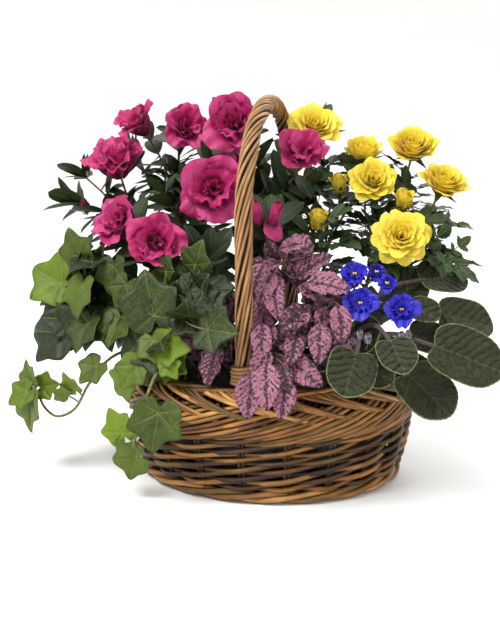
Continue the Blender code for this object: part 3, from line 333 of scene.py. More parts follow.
# The studio: a paper floor that curves up far behind, as (radius, height), square softboxes as (name, place,
# size, watts), and a camera one metre from the basket's middle line, turned a little to the left of it. Angles
# in degrees.
FLOOR_PROFILE = ((0.01, 0), (1.2, 0), (2.2, 0), (2.7, 0.08), (3.1, 0.4), (3.3, 1.0), (3.4, 2.6))
FLOOR_GAP = 0.0002
SOFTBOXES = (("key_softbox", (-0.9, -1.2, 2.0), 1.0, 56), ("fill_softbox", (1.7, -1.3, 1.1), 1.3, 12),
             ("back_softbox", (0.3, 1.7, 2.0), 1.6, 30), ("top_softbox", (0.0, 0.0, 2.4), 1.8, 22))
LIGHTS_AIM = Vector((0, 0, 0.18))
ROOM_LIGHT = 0.36
CAMERA_AZIMUTH, CAMERA_PITCH, CAMERA_LEFT, CAMERA_HEIGHT, CAMERA_LENS = 12.5, 10.8, 1.129, 0.350, 58.464


def linear(hex_colour):
    """A hex sRGB colour as the linear red, green and blue that Blender works in."""
    parts = [int(hex_colour[i:i + 2], 16) / 255 for i in (1, 3, 5)]
    return tuple(c / 12.92 if c <= 0.04045 else ((c + 0.055) / 1.055) ** 2.4 for c in parts)


def colour_property(name, description, hex_colour):
    return bpy.props.FloatVectorProperty(
        name=name, description=description, subtype="COLOR", size=3, min=0, max=1, default=linear(hex_colour)
    )


class WickerSettings(bpy.types.PropertyGroup):
    """Sizes and colours of the basket and its handle."""

    stake_count: bpy.props.IntProperty(
        name="Stakes", description="Upright stakes round the basket", default=20, min=8, max=40)
    weaver_diameter: bpy.props.FloatProperty(
        name="Weaver", description="Thickness of a weaver's thick end", default=0.0055, unit="LENGTH",
        subtype="DISTANCE")
    border_rod_diameter: bpy.props.FloatProperty(
        name="Border rod", description="Thickness of a rod in the plaited border", default=0.0045, unit="LENGTH",
        subtype="DISTANCE")
    handle_rods: bpy.props.IntProperty(
        name="Handle rods", description="Rods twisted into the handle", default=10, min=3, max=14)
    handle_rod_diameter: bpy.props.FloatProperty(
        name="Handle rod", description="Thickness of a rod in the handle", default=0.0036, unit="LENGTH",
        subtype="DISTANCE")
    dark_willow: colour_property("Dark willow", "Colour of the darkest rods", "#2b1c13")
    light_willow: colour_property("Light willow", "Colour of the palest rods", "#bd8d50")
    handle_willow: colour_property("Handle willow", "Colour of the handle's rods", "#ad8152")


class PlantingSettings(bpy.types.PropertyGroup):
    """Colours of the plants."""

    azalea_petal: colour_property("Azalea petal", "Body colour of the azalea's petals", "#b0165f")
    azalea_leaf: colour_property("Azalea leaf", "Body colour of the azalea's leaves", "#2b3a17")
    rose_petal: colour_property("Rose petal", "Colour of the rose's outer petals", "#eed53e")
    rose_leaf: colour_property("Rose leaf", "Body colour of the rose's leaves", "#34471b")
    ivy_old: colour_property("Old ivy", "Colour of the oldest ivy leaves", "#151f04")
    ivy_young: colour_property("Young ivy", "Colour of the youngest ivy leaves", "#708a0a")
    polka_pink: colour_property("Polka dot pink", "Body colour of the polka dot leaves", "#b3758d")
    violet_leaf: colour_property("Violet leaf", "Body colour of the violet's leaves", "#2d3015")
    violet_petal: colour_property("Violet petal", "Body colour of the violet's petals", "#2219ac")


# ---------------------------------------------------------------- meshes


def unit(vectors):
    return vectors / np.maximum(np.linalg.norm(vectors, axis=-1, keepdims=True), 1e-12)


def oval(radius, angle, height):
    """Points of the basket's oval rings, at radii measured along X."""
    radius, angle, height = np.broadcast_arrays(radius, angle, height)
    return np.stack([radius * np.cos(angle), radius * OVAL * np.sin(angle), height], -1)


def flowing(points, count):
    """Evenly spread points of a smooth curve that passes through the given ones."""
    points = np.array([tuple(p) for p in points], float)
    padded = np.vstack([2 * points[0] - points[1], points, 2 * points[-1] - points[-2]])
    t = np.linspace(0, len(points) - 1 - 1e-9, count)
    cell = t.astype(int)
    t = (t - cell)[:, None]
    a, b, c, d = (padded[cell + i] for i in range(4))
    return 0.5 * (2 * b + (c - a) * t + (2 * a - 5 * b + 4 * c - d) * t**2 + (3 * b - a - 3 * c + d) * t**3)


def grid_faces(rows, columns, wrap):
    """The faces of a grid of points; wrap joins its last column to its first."""
    grid = np.arange(rows * columns).reshape(rows, columns)
    if wrap:
        grid = np.concatenate([grid, grid[:, :1]], 1)
    return np.stack([grid[:-1, :-1], grid[:-1, 1:], grid[1:, 1:], grid[1:, :-1]], -1).reshape(-1, 4)


class Skin:
    """Sheets and rods gathered into one mesh. Each point carries what the finishes read: spot, which is its
    place on its own leaf or rod in millimetres with a number of its own as Z, and marks, which are the distance
    to the nearest vein in millimetres, the share of the way to the margin or end, and the tint."""

    def __init__(self):
        self.points, self.spots, self.marks, self.faces = [], [], [], []
        self.count = 0

    def add(self, points, spots, marks, faces, slot):
        self.points.append(points.reshape(-1, 3))
        self.spots.append(spots.reshape(-1, 3))
        self.marks.append(marks.reshape(-1, 3))
        self.faces += [(face + self.count, slot) for face in faces]
        self.count += len(self.points[-1])

    def sheet(self, points, spot_x, spot_y, seed, vein, margin, tint, slot=0, wrap=False):
        """A grid of points as one sheet; wrap joins its last column to its first."""
        spots, marks = (np.stack([np.broadcast_to(v, points.shape[:2]) for v in values], -1)
                        for values in ((spot_x, spot_y, seed), (vein, margin, tint)))
        self.add(points, spots, marks, [grid_faces(*points.shape[:2], wrap)], slot)

    def rod(self, path, radius, tint=0.5, sides=7, slot=0, seed=0.0, flat=1.0, outward=None):
        """A closed round rod along a path, its radius one number or one for each point. In place of the distance
        to a vein it carries how far each point looks outward, from -1 to 1."""
        path = np.asarray(path, float)
        count = len(path)
        radius = np.broadcast_to(radius, (count,))
        tangent = unit(np.gradient(path, axis=0))
        side = np.cross(tangent[0], (0.3, 0.2, 0.93))
        sides_of = []
        for way in tangent:
            side = side - way * side.dot(way)
            side /= np.linalg.norm(side)
            sides_of.append(side)
        side = np.array(sides_of) if outward is None else unit(
            outward - tangent * np.sum(outward * tangent, -1, keepdims=True))
        other = np.cross(tangent, side)
        turn = np.linspace(0, math.tau, sides, endpoint=False)
        ring = side[:, None] * np.cos(turn)[:, None] + other[:, None] * np.sin(turn)[:, None] * flat
        points = path[:, None] + ring * radius[:, None, None]
        length = np.concatenate([[0], np.cumsum(np.linalg.norm(np.diff(path, axis=0), axis=1))])
        share = length / max(length[-1], 1e-9)
        spots, marks = (np.stack(np.broadcast_arrays(along[:, None], around, value), -1) for along, around,
                        value in (
            (length / MM, turn * radius.mean() / MM, seed), (share, np.cos(turn), tint)))
        marks = marks[..., (1, 0, 2)]
        cap = np.arange(sides)[None]
        self.add(points, spots, marks, [grid_faces(count, sides, True), cap[:, ::-1], cap + (count - 1) * sides],
                 slot)

    def piece(self, name, finishes, slot, *nodes, thickness=0.0):
        """The gathered mesh as a piece of the object that stands for the named solids."""
        mesh = bpy.data.meshes.new(name)
        points = np.concatenate(self.points)
        corners = np.concatenate([face.ravel() for face, _ in self.faces])
        sizes = np.concatenate([np.full(len(face), face.shape[1]) for face, _ in self.faces])
        slots = np.concatenate([np.full(len(face), index) for face, index in self.faces])
        mesh.vertices.add(len(points))
        mesh.vertices.foreach_set("co", points.ravel())
        mesh.loops.add(len(corners))
        mesh.loops.foreach_set("vertex_index", corners)
        mesh.polygons.add(len(sizes))
        mesh.polygons.foreach_set("loop_start", np.cumsum(sizes) - sizes)
        for finish in finishes:
            mesh.materials.append(finish)
        mesh.polygons.foreach_set("material_index", slots)
        mesh.update(calc_edges=True)
        for label, values in (("spot", self.spots), ("marks", self.marks)):
            layer = mesh.attributes.new(label, "FLOAT_VECTOR", "POINT")
            layer.data.foreach_set("vector", np.concatenate(values).ravel().astype(np.float32))
        weld(mesh)
        mesh.shade_smooth()
        made = bpy.data.objects.new(name, mesh)
        bpy.context.scene.collection.objects.link(made)
        if thickness:
            body = made.modifiers.new("Thickness", "SOLIDIFY")
            body.thickness = thickness
            body.offset = 0.0
        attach(made, "root")
        if nodes:
            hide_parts(*nodes)


def started(name):
    """A bare skin, and the chance that shapes it the same way each time."""
    return Skin(), random.Random(name)


def weld(mesh):
    """Joins points that lie on each other and turns the faces of closed bodies outwards."""
    body = bmesh.new()
    body.from_mesh(mesh)
    bmesh.ops.remove_doubles(body, verts=body.verts[:], dist=0.000002)
    bmesh.ops.dissolve_degenerate(body, edges=body.edges[:], dist=0.000001)
    bmesh.ops.recalc_face_normals(body, faces=body.faces[:])
    body.to_mesh(mesh)
    body.free()


def jolt(chance):
    """A random step in any direction, up to one along each axis."""
    return Vector([chance.uniform(-1, 1) for _ in range(3)])


def direction(azimuth, elevation):
    """A unit vector from an azimuth about +Z and an elevation, in degrees."""
    flat = math.cos(math.radians(elevation))
    return Vector((flat * math.cos(math.radians(azimuth)), flat * math.sin(math.radians(azimuth)),
                   math.sin(math.radians(elevation))))


def leaf_axes(base, tip, face):
    """A leaf's along, across and up ways as rows, and its length."""
    along = (tip - base).normalized()
    up = (face - along * face.dot(along)).normalized()
    return np.array([along, up.cross(along), up]), (tip - base).length


def lay_leaf(base, axes, length, x, y, z):
    """Points of a leaf from shares of its length along, across and up."""
    return np.array(base) + length * (x[..., None] * axes[0] + y[..., None] * axes[1] + z[..., None] * axes[2])


def long_leaf(skin, base, tip, face, tint, chance, width, belly, fold=LEAF_FOLD, droop=LEAF_DROOP,
              waviness=0.02, waves=3, rows=10, columns=7, teeth=0.0):
    """An oval leaf. Width is half of its widest place, which is the share belly of the way up, as shares of
    length."""
    axes, length = leaf_axes(base, tip, face)
    x = np.linspace(0, 1, rows)[:, None] * np.ones((1, columns))
    v = np.linspace(-1, 1, columns)[None, :] * np.ones((rows, 1))
    low, high = 1.4 * belly, 1.4 * (1 - belly)
    half = width * (x**low * (1 - x)**high) / (belly**low * (1 - belly)**high)
    if teeth:
        half = half * (1 + teeth * np.where(np.arange(rows) % 2 == 0, -1, 1)[:, None])
    y = v * half
    phase = chance.uniform(0, ANY_PHASE)
    z = fold * np.abs(y) + droop * (x - x * x) + waviness * v * v * np.sin(ANY_PHASE * waves * x + phase
                                                                           + (v > 0) * 2)
    points = lay_leaf(base, axes, length, x, y, z)
    size = length / MM
    skin.sheet(points, x * size, y * size, chance.uniform(0, 99), np.abs(y) * size, np.abs(v), tint)


def outline(shape, angles, sharp):
    """A leaf's outline radius at each angle. Sharp rounds off a plain run from the tips of lobes to the
    hollows."""
    share, half = LEAF_SHAPES[shape]
    stops = [a for a, _ in half]
    radii = [r for _, r in half]
    if shape == "ivy":
        stops, radii = (0, 30, 56, 84, 112, 150, 180), (0.85, 0.59, 0.70, 0.49, 0.50, 0.38, 0.10)
    turned = np.abs((angles + 180) % 360 - 180)
    radius = np.empty_like(turned)
    for (a, r), (b, s) in zip(zip(stops, radii), zip(stops[1:], radii[1:])):
        inside = (turned >= a) & (turned <= b)
        t = (turned[inside] - a) / (b - a)
        eased = t * t * (3 - 2 * t)
        from_lobe = 1 - (1 - t)**1.6 if r > s else t**1.6
        radius[inside] = r + (s - r) * (sharp * from_lobe + (1 - sharp) * eased)
    return share, radius


def broad_leaf(skin, base, tip, face, tint, chance, shape, sharp, lobes, pucker, rings=7, cup=0.0, scallop=0.0,
               slim=1.0):
    """A lobed or round leaf with its main veins running from its stalk into the lobes."""
    axes, length = leaf_axes(base, tip, face)
    angles = np.arange(0, 360, 5.0)
    share, radius = outline(shape, angles, sharp)
    radius = radius * (1 + scallop * np.where(np.arange(len(angles)) % 2 == 0, 1, -1))
    radius = radius * (1 + 0.03 * np.sin(np.radians(angles) * 2 + chance.uniform(0, ANY_PHASE)))
    r = (np.linspace(0, 1, rings) ** 0.85)[:, None]
    turn = np.radians(angles)[None, :]
    x = share + r * radius * np.cos(turn)
    y = r * radius * np.sin(turn) * slim
    root = share if shape == "ivy" else 0.10
    vein = np.full(x.shape, NO_VEIN)
    for lobe in lobes:
        way = math.radians(lobe)
        out = (x - root) * math.cos(way) + y * math.sin(way)
        off = np.abs((x - root) * math.sin(way) - y * math.cos(way))
        vein = np.minimum(vein, np.where(out > -0.01, off, np.hypot(x - root, y)))
    phase = chance.uniform(0, ANY_PHASE)
    z = LEAF_FOLD * np.abs(y) + LEAF_DROOP * (x - x * x) + pucker * np.tanh(vein / 0.05) * np.minimum(1, r * 3)
    z = z + 0.018 * r * r * np.sin(3 * turn + phase) + cup * (r * radius) ** 2
    points = lay_leaf(base, axes, length, x, y, z)
    size = length / MM
    skin.sheet(points, (x - root) * size, y * size, chance.uniform(0, 99), vein * size, r * np.ones_like(x),
               tint, wrap=True)


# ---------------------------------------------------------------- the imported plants, found again


def leaf_tries(base, tip, face, key):
    """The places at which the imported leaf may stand, in the order in which they were tried."""
    chance = random.Random(key)
    for attempt in range(LEAF_TRIES):
        shift = jolt(chance) * LEAF_SHIFT * attempt
        swing = jolt(chance) * LEAF_SWING * attempt
        lean = jolt(chance) * LEAF_LEAN * attempt
        way = (tip + swing - base).normalized()
        yield base + shift, base + shift + way * (tip - base).length, (face + lean).normalized()


def twig_tries(start, end, way, key):
    """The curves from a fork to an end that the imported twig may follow."""
    chance = random.Random(key)
    for attempt in range(TWIG_TRIES):
        aside = jolt(chance) * TWIG_BOW * attempt
        leave = ((end - start).normalized() + Vector((0, 0, 0.6)) + aside).normalized()
        yield smooth_path(start, leave, end, way, 6)


def smooth_path(start, start_way, end, end_way, count):
    """Points along a Bezier curve that leaves and arrives in the given directions."""
    reach = (end - start).length * 0.4
    a, b, c, d = start, start + start_way * reach, end - end_way * reach, end
    points = []
    for step in range(count):
        t = step / (count - 1)
        s = 1 - t
        points.append(a * s**3 + b * 3 * s * s * t + c * 3 * s * t * t + d * t**3)
    return points


def thin_stalk(skin, start, start_way, end, end_way, radius, slot, bends=6, rings=18):
    """A thin round stalk that leaves and arrives in the given directions."""
    skin.rod(flowing(smooth_path(start, start_way, end, end_way, bends), rings), radius, 0.5, 6, slot)


def rim_points(shape, base, tip, face):
    """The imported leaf's outline, without the point at its stalk."""
    share, half = LEAF_SHAPES[shape]
    axes, length = leaf_axes(base, tip, face)
    angles = [(a, r) for a, r in half if a < 180] + [(-a, r) for a, r in half if 0 < a < 180]
    turn = np.radians([a for a, _ in angles])
    radius = np.array([r for _, r in angles])
    x, y = share + radius * np.cos(turn), radius * np.sin(turn)
    return lay_leaf(base, axes, length, x, y, LEAF_FOLD * np.abs(y) + LEAF_DROOP * (x - x * x))


def solid_of(node):
    """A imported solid's surface, to measure distances from."""
    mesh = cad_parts[node].data
    return BVHTree.FromPolygons([v.co for v in mesh.vertices], [tuple(p.vertices) for p in mesh.polygons])


def as_packed(solid, tries, probes, depth=0.0, fit=FIT):
    """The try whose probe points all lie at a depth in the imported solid's surface, or none."""
    best, least = None, fit
    for attempt in tries:
        error = max(abs(solid.find_nearest(Vector(p))[3] - depth) for p in probes(attempt))
        if error < least:
            best, least = attempt, error
    return best


def rooted(path):
    """Stem points from a plan position on a root ball: straight up out of it, then the points that follow."""
    x, y = path[0]
    return [Vector((x, y, SOIL_HEIGHT - 0.002)), Vector((x, y,
                                                         SOIL_HEIGHT + 0.006))] + [Vector(p) for p in path[1:]]


def outward_face(base, tip, heart):
    """The way a leaf's upper side looks: out from the heart of the plant, somewhat up, and to the show side."""
    middle = (base + tip) / 2
    show = 0.8 if middle.y < 0.01 else 0.0
    return (middle - heart).normalized() + Vector((0, -show, 0.40))


def bloom_seat(node, facing):
    """A packed bloom's centre, its radius across the way it faces, and its depth behind the centre."""
    axis = np.array(facing)
    points = np.array([v.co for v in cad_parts[node].data.vertices], float)
    points = points[np.linalg.norm(points - np.median(points, 0), axis=1) < 0.06]
    out = points @ axis
    depth = (out.max() - out.min()) / 1.45
    flat = points - out[:, None] * axis
    middle = (flat.max(0) + flat.min(0)) / 2
    radius = np.linalg.norm(flat - middle, axis=1).max() / 1.05
    centre = middle - axis * (middle @ axis) + axis * (out.min() + depth)
    return Vector(centre), radius, depth


BLOOM_FACES = [(*bloom_seat(name, direction(*way))[:2], direction(*way)) for name, way in FACING.items()]


# ---------------------------------------------------------------- finishes


BLEND = {"out": 2, "data_type": "RGBA"}


def add_node(tree, kind, inputs=(), out=0, **settings):
    """Adds a node with its settings, and with links, hex or linear colours or values as its inputs, and returns
    one of its outputs."""
    node = tree.nodes.new("ShaderNode" + kind)
    for key, value in settings.items():
        setattr(node, key, value)
    for key, value in inputs.items() if isinstance(inputs, dict) else enumerate(inputs):
        socket = node.inputs[key]
        if isinstance(value, bpy.types.NodeSocket):
            tree.links.new(value, socket)
        elif socket.type == "RGBA":
            socket.default_value = (*(linear(value) if isinstance(value, str) else value), 1)
        else:
            socket.default_value = value
    return node.outputs[out] if node.outputs else None


def new_finish(name):
    """An empty material, the function that adds its nodes, and the outputs of spot and of the parts of marks."""
    finish = bpy.data.materials.new(name)
    finish.use_nodes = True
    finish.node_tree.nodes.clear()
    add = partial(add_node, finish.node_tree)
    spot, marks = (add("Attribute", out="Vector", attribute_name=label) for label in ("spot", "marks"))
    return finish, add, spot, *add("SeparateXYZ", (marks,)).node.outputs


def close_finish(add, colour, height, bump, roughness, see_through=0.0, **shine):
    """Ends a material: bump from a height in millimetres, then the surface, part of it letting light through."""
    normal = add("Bump", {"Height": height, "Distance": MM, "Strength": bump})
    inputs = {"Base Color": colour, "Roughness": roughness, "Normal": normal}
    inputs.update({key.replace("_", " "): value for key, value in shine.items()})
    surface = add("BsdfPrincipled", inputs)
    if see_through:
        thin = add("BsdfTranslucent", {"Color": colour, "Normal": normal})
        surface = add("MixShader", (see_through, surface, thin))
    add("OutputMaterial", {"Surface": surface})


def side_veins(add, spot, slope, spacing):
    """Millimetres to the nearest side vein of a feather-veined leaf."""
    apart = add("SeparateXYZ", (spot,)).node
    aside = add("Math", (apart.outputs[1],), operation="ABSOLUTE")
    bent = add("Math", (aside, slope), operation="MULTIPLY")
    along = add("Math", (apart.outputs[0], bent), operation="SUBTRACT")
    wobble = add("TexNoise", {"Vector": spot, "Scale": 0.12, "Detail": 1.0})
    moved = add("Math", (wobble, spacing * 0.9, along), operation="MULTIPLY_ADD")
    return add("Math", (moved, spacing / 2), operation="PINGPONG")


def willow_finish(name, dark, light, between):
    """Willow rods, boiled and dried: satin bark, each rod its own brown, with fine streaks along it that run a
    few centimetres and are drawn half a millimetre wide so that they show; each rod is painted paler on its
    outward face as painted highlight and darker on its sides and back towards the gaps as painted shade."""
    finish, add, spot, outward, _, tint = new_finish(name)
    base = add("ValToRGB", {"Fac": tint})
    stops = base.node.color_ramp.elements
    stops[0].color, stops[1].color = (*dark, 1), (*light, 1)
    for place, colour in between:
        stops.new(place).color = (*linear(colour), 1)
    squeezed = add("Mapping", {"Vector": spot, "Scale": (0.06, 1.4, 1.0)})
    streak = add("TexNoise", {"Vector": squeezed, "Scale": 1.0, "Detail": 4.0, "Roughness": 0.65})
    blotch = add("TexNoise", {"Vector": spot, "Scale": 0.035, "Detail": 3.0})
    worn = add("MapRange", (streak, 0.35, 0.68, 0.66, 1.20))
    dull = add("MapRange", (blotch, 0.32, 0.66, 0.55, 1.30))
    both = add("Math", (worn, dull), operation="MULTIPLY")
    # Painted highlight and shade: paler where a rod's surface faces outward, darker on its sides and back
    # towards the gaps.
    painted_shade_and_highlight = add("MapRange", (outward, 0.0, 0.95, 0.22, 1.16))
    both = add("Math", (both, painted_shade_and_highlight), operation="MULTIPLY")
    colour = add("VectorMath", {0: base, "Scale": both}, operation="SCALE")
    rough = add("MapRange", (streak, 0.3, 0.7, 0.52, 0.32))
    close_finish(add, colour, streak, 0.35, rough, Specular_IOR_Level=0.3)
    return finish


def petal_finish(name, outer, inner, throat, throat_reach, vein_width, roughness, see_through, crinkle):
    """Fresh petals: soft cells that scatter light, so no hard gloss; fine veins run the petal's length a few
    tenths of a millimetre apart, drawn at one millimetre so that they show, and the colour turns to the throat
    colour towards the petal's base, which on the azalea and the rose is partly their own deeper base and partly
    painted shade deep in the bloom."""
    finish, add, spot, _, margin, tint = new_finish(name)
    long = add("Mapping", {"Vector": spot, "Scale": (0.05, vein_width, 1.0)})
    veins = add("TexNoise", {"Vector": long, "Scale": 1.0, "Detail": 3.0, "Roughness": 0.6})
    cloud = add("TexNoise", {"Vector": spot, "Scale": 0.09, "Detail": 2.0})
    # Towards the petal's base the colour turns to the throat colour: partly the petal's own, and on the azalea
    # and the rose partly painted shade deep in the bloom.
    throat_colour_and_shade = add("MapRange", (margin, 0.1, throat_reach, 1.0, 0.0))
    patch = add("Math", (cloud, tint, -0.16), operation="MULTIPLY_ADD")
    body = add("Mix", {0: patch, 6: outer, 7: inner}, **BLEND)
    body = add("Mix", {0: throat_colour_and_shade, 6: body, 7: throat}, **BLEND)
    shade = add("MapRange", (veins, 0.35, 0.65, 0.84, 1.08))
    colour = add("VectorMath", {0: body, "Scale": shade}, operation="SCALE")
    folds = add("TexNoise", {"Vector": spot, "Scale": 0.28, "Detail": 3.0})
    rough = add("Math", (folds, crinkle, veins), operation="MULTIPLY_ADD")
    close_finish(add, colour, rough, 0.4, roughness, see_through, Sheen_Weight=0.12, Sheen_Roughness=0.4)
    return finish


def green_leaf_finish(name, dark, light, vein_colour, slope, spacing, roughness, vein_share):
    """Leathery green leaves: a waxy skin with a soft shine, a paler midrib and side veins some millimetres apart
    that sink into the blade, and patches of deeper green a centimetre across."""
    finish, add, spot, vein, _, tint = new_finish(name)
    cloud = add("TexNoise", {"Vector": spot, "Scale": 0.10, "Detail": 3.0})
    mixed = add("Math", (cloud, 0.5, tint), operation="MULTIPLY_ADD")
    share = add("Math", (mixed, 0.25), operation="SUBTRACT", use_clamp=True)
    body = add("Mix", {0: share, 6: dark, 7: light}, **BLEND)
    sides = side_veins(add, spot, slope, spacing)
    near = add("MapRange", (vein, 0.25, 0.75, 1.0, 0.0))
    beside = add("MapRange", (sides, 0.10, 0.45, 0.6, 0.0))
    line = add("Math", (near, beside), operation="MAXIMUM")
    faint = add("Math", (line, vein_share), operation="MULTIPLY")
    colour = add("Mix", {0: faint, 6: body, 7: vein_colour}, **BLEND)
    grain = add("TexNoise", {"Vector": spot, "Scale": 0.9, "Detail": 2.0})
    sunk = add("Math", (line, -0.8, grain), operation="MULTIPLY_ADD")
    close_finish(add, colour, sunk, 0.45, roughness, Specular_IOR_Level=0.3)
    return finish


def ivy_finish(settings):
    """Ivy leaves: smooth waxy skin, old leaves dark and young ones lime, with pale veins half a millimetre wide
    running from the stalk into each lobe and a faint net between them."""
    finish, add, spot, vein, margin, tint = new_finish("ivy_leaf_waxy")
    cloud = add("TexNoise", {"Vector": spot, "Scale": 0.07, "Detail": 3.0})
    mixed = add("Math", (cloud, 0.35, tint), operation="MULTIPLY_ADD")
    share = add("MapRange", (mixed, 0.45, 1.40, 0.0, 1.0),
                interpolation_type="SMOOTHSTEP")
    body = add("Mix", {0: share, 6: settings.ivy_old, 7: settings.ivy_young}, **BLEND)
    net = add("TexVoronoi", {"Vector": spot, "Scale": 0.16}, out="Distance",
              feature="DISTANCE_TO_EDGE")
    fine = add("MapRange", (net, 0.0, 0.06, 0.35, 0.0))
    near = add("MapRange", (vein, 0.15, 0.75, 0.85, 0.0))
    line = add("Math", (near, fine), operation="MAXIMUM")
    paler = add("Mix", {0: 0.22, 6: body, 7: "#a9bb62"}, **BLEND)
    colour = add("Mix", {0: line, 6: body, 7: paler}, **BLEND)
    rim = add("MapRange", (margin, 0.93, 1.0, 1.0, 0.85))
    colour = add("VectorMath", {0: colour, "Scale": rim}, operation="SCALE")
    sunk = add("Math", (line, -0.6), operation="MULTIPLY")
    close_finish(add, colour, sunk, 0.5, 0.5, Specular_IOR_Level=0.3)
    return finish


def polka_finish(settings):
    """Polka dot leaves: a thin matt skin, pink where the green has broken up, with dark green to maroon veins
    and specks from half a millimetre to two across; the youngest leaves are green with pink specks."""
    finish, add, spot, vein, margin, tint = new_finish("polka_dot_leaf_speckled")
    cloud = add("TexNoise", {"Vector": spot, "Scale": 0.12, "Detail": 3.0})
    share = add("Math", (cloud, tint, -0.35), operation="MULTIPLY_ADD", use_clamp=True)
    pale = add("Mix", {0: share, 6: "#6e3f55", 7: "#dba6b5"}, **BLEND)
    pink = add("Mix", {0: 0.45, 6: pale, 7: settings.polka_pink}, **BLEND)
    specks = add("TexNoise", {"Vector": spot, "Scale": 0.40, "Detail": 4.0, "Roughness": 0.72})
    sides = side_veins(add, spot, 1.0, 5.5)
    rib = add("MapRange", (vein, 0.2, 2.6, 0.16, 0.0))
    ribs = add("MapRange", (sides, 0.0, 1.5, 0.09, 0.0))
    near = add("Math", (rib, ribs), operation="MAXIMUM")
    young = add("MapRange", (tint, 0.10, 0.55, 0.10, 0.0))
    close = add("MapRange", (margin, 0.75, 1.0, 0.0, 0.04))
    total = add("Math", (near, specks), operation="ADD")
    total = add("Math", (total, young), operation="ADD")
    total = add("Math", (total, close), operation="ADD")
    total = add("Math", (cloud, 0.30, total), operation="MULTIPLY_ADD")
    dark = add("MapRange", (total, 0.690, 0.742, 0.0, 0.93))
    ink = add("Mix", {0: cloud, 6: "#161c10", 7: "#30101f"}, **BLEND)
    colour = add("Mix", {0: dark, 6: pink, 7: ink}, **BLEND)
    sunk = add("MapRange", (sides, 0.0, 1.6, 0.0, 1.0))
    close_finish(add, colour, sunk, 0.5, 0.55, Specular_IOR_Level=0.25, Sheen_Weight=0.04)
    return finish


def violet_leaf_finish(settings):
    """African violet leaves: thick and quilted between sunken veins seven millimetres apart, under a felt of
    short hairs that greys the edges of the blade and takes away any gloss; the margin is a thin pale green
    line."""
    finish, add, spot, vein, margin, _ = new_finish("violet_leaf_felted")
    sides = side_veins(add, spot, 0.75, 8.0)
    cloud = add("TexNoise", {"Vector": spot, "Scale": 0.12, "Detail": 3.0})
    quilt = add("TexVoronoi", {"Vector": spot, "Scale": 0.22, "Smoothness": 0.8}, out="Distance",
                feature="SMOOTH_F1")
    body = add("Mix", {0: cloud, 6: "#1a1c0b", 7: settings.violet_leaf}, **BLEND)
    near = add("MapRange", (vein, 0.3, 1.4, 0.75, 0.0))
    beside = add("MapRange", (sides, 0.1, 0.8, 0.45, 0.0))
    line = add("Math", (near, beside), operation="MAXIMUM")
    colour = add("Mix", {0: line, 6: body, 7: "#41452a"}, **BLEND)
    rim = add("MapRange", (margin, 0.955, 0.99, 0.0, 0.85))
    colour = add("Mix", {0: rim, 6: colour, 7: "#7a8450"}, **BLEND)
    hollow = add("MapRange", (sides, 0.0, 3.0, 0.0, 2.2))
    puff = add("Math", (quilt, -3.0, hollow), operation="MULTIPLY_ADD")
    close_finish(add, colour, puff, 1.0, 0.62, Specular_IOR_Level=0.25, Sheen_Weight=0.08, Sheen_Roughness=0.5,
                 Sheen_Tint="#cfd8b8")
    return finish


def plain_finish(name, dark, light, size, bump, roughness, **shine):
    """One material mottled between two colours, its patches the given millimetres across."""
    finish, add, spot, *_ = new_finish(name)
    cloud = add("TexNoise", {"Vector": spot, "Scale": 1 / size, "Detail": 4.0, "Roughness": 0.6})
    share = add("MapRange", (cloud, 0.3, 0.7, 0.0, 1.0))
    colour = add("Mix", {0: share, 6: dark, 7: light}, **BLEND)
    close_finish(add, colour, cloud, bump, roughness, **shine)
    return finish


def liner_finish():
    """Black polythene film: a satin skin with soft creases a centimetre apart."""
    finish, add, *_ = new_finish("pot_liner_black_film")
    place = add("TexCoord", out="Object")
    crease = add("TexNoise", {"Vector": place, "Scale": 90.0, "Detail": 3.0, "Distortion": 0.6})
    shade = add("Mix", {0: crease, 6: "#0d0d0d", 7: "#242424"}, **BLEND)
    close_finish(add, shade, crease, 0.8, 0.4)
    return finish


# ---------------------------------------------------------------- the basket


def profile_point(profile, share):
    """Radius and height at shares of the way along a profile."""
    radii, heights = (np.array(v) for v in zip(*profile))
    steps = np.hypot(np.diff(radii), np.diff(heights))
    way = np.concatenate([[0], np.cumsum(steps)]) / steps.sum()
    return np.interp(share, way, radii), np.interp(share, way, heights)


def wall_radius(height):
    radii, heights = zip(*WALL_PROFILE)
    return np.interp(height, heights, radii)


def willow_rod(skin, path, radius, chance, dark, light, sides, outward=None):
    """A rod of a brown of its own, between a dark and a light share of the willow's range."""
    skin.rod(path, radius, chance.uniform(dark, light), sides, seed=chance.uniform(0, 500), outward=outward)


def weave_wall(skin, settings, chance):
    """One weaver to each stake, all climbing together, in front of one stake and behind the next."""
    count = settings.stake_count
    step = math.tau / count
    climb = settings.weaver_diameter * 0.86
    stakes_passed = (WALL_HIGH - WALL_LOW) / climb
    for index in range(count):
        start = index * step
        travel = np.linspace(-1.2, stakes_passed + 0.6, int(7 * stakes_passed))
        angle = start + travel * step
        height = WALL_LOW + travel * climb + 0.0007 * np.sin(travel * 1.7 + chance.uniform(0, ANY_PHASE))
        height = height + 0.0013 * np.sin(travel * math.pi)
        out = np.cos(travel * math.pi) * WEAVE_SWING
        inward = -0.004 * np.clip(-travel, 0, 1) - 0.003 * np.clip(travel - stakes_passed + 0.4, 0, 1)
        radius = wall_radius(np.clip(height, WALL_LOW - 0.002, 0.085)) - WEAVE_DEPTH + out + inward
        height = np.clip(height, WALL_LOW - 0.001, WALL_HIGH + 0.002)
        thick = settings.weaver_diameter / 2 * np.linspace(1.02, 0.78, len(travel)) * chance.uniform(0.90, 1.08)
        skin.rod(oval(radius, angle, height), thick, index * 0.618 % 1 * 0.9, 8,
                 seed=chance.uniform(0, 500))


def set_stakes(skin, settings, chance):
    """Two rods side by side at each stake's place, from the foot up into the border."""
    step = math.tau / settings.stake_count
    for index in range(settings.stake_count):
        for aside in (-STAKE_ROD, STAKE_ROD):
            height = np.linspace(0.009, 0.080, 12)
            radius = wall_radius(height) - STAKE_DEPTH
            angle = index * step + aside / radius
            willow_rod(skin, oval(radius, angle, height), STAKE_ROD, chance, 0.3, 0.8, 7)


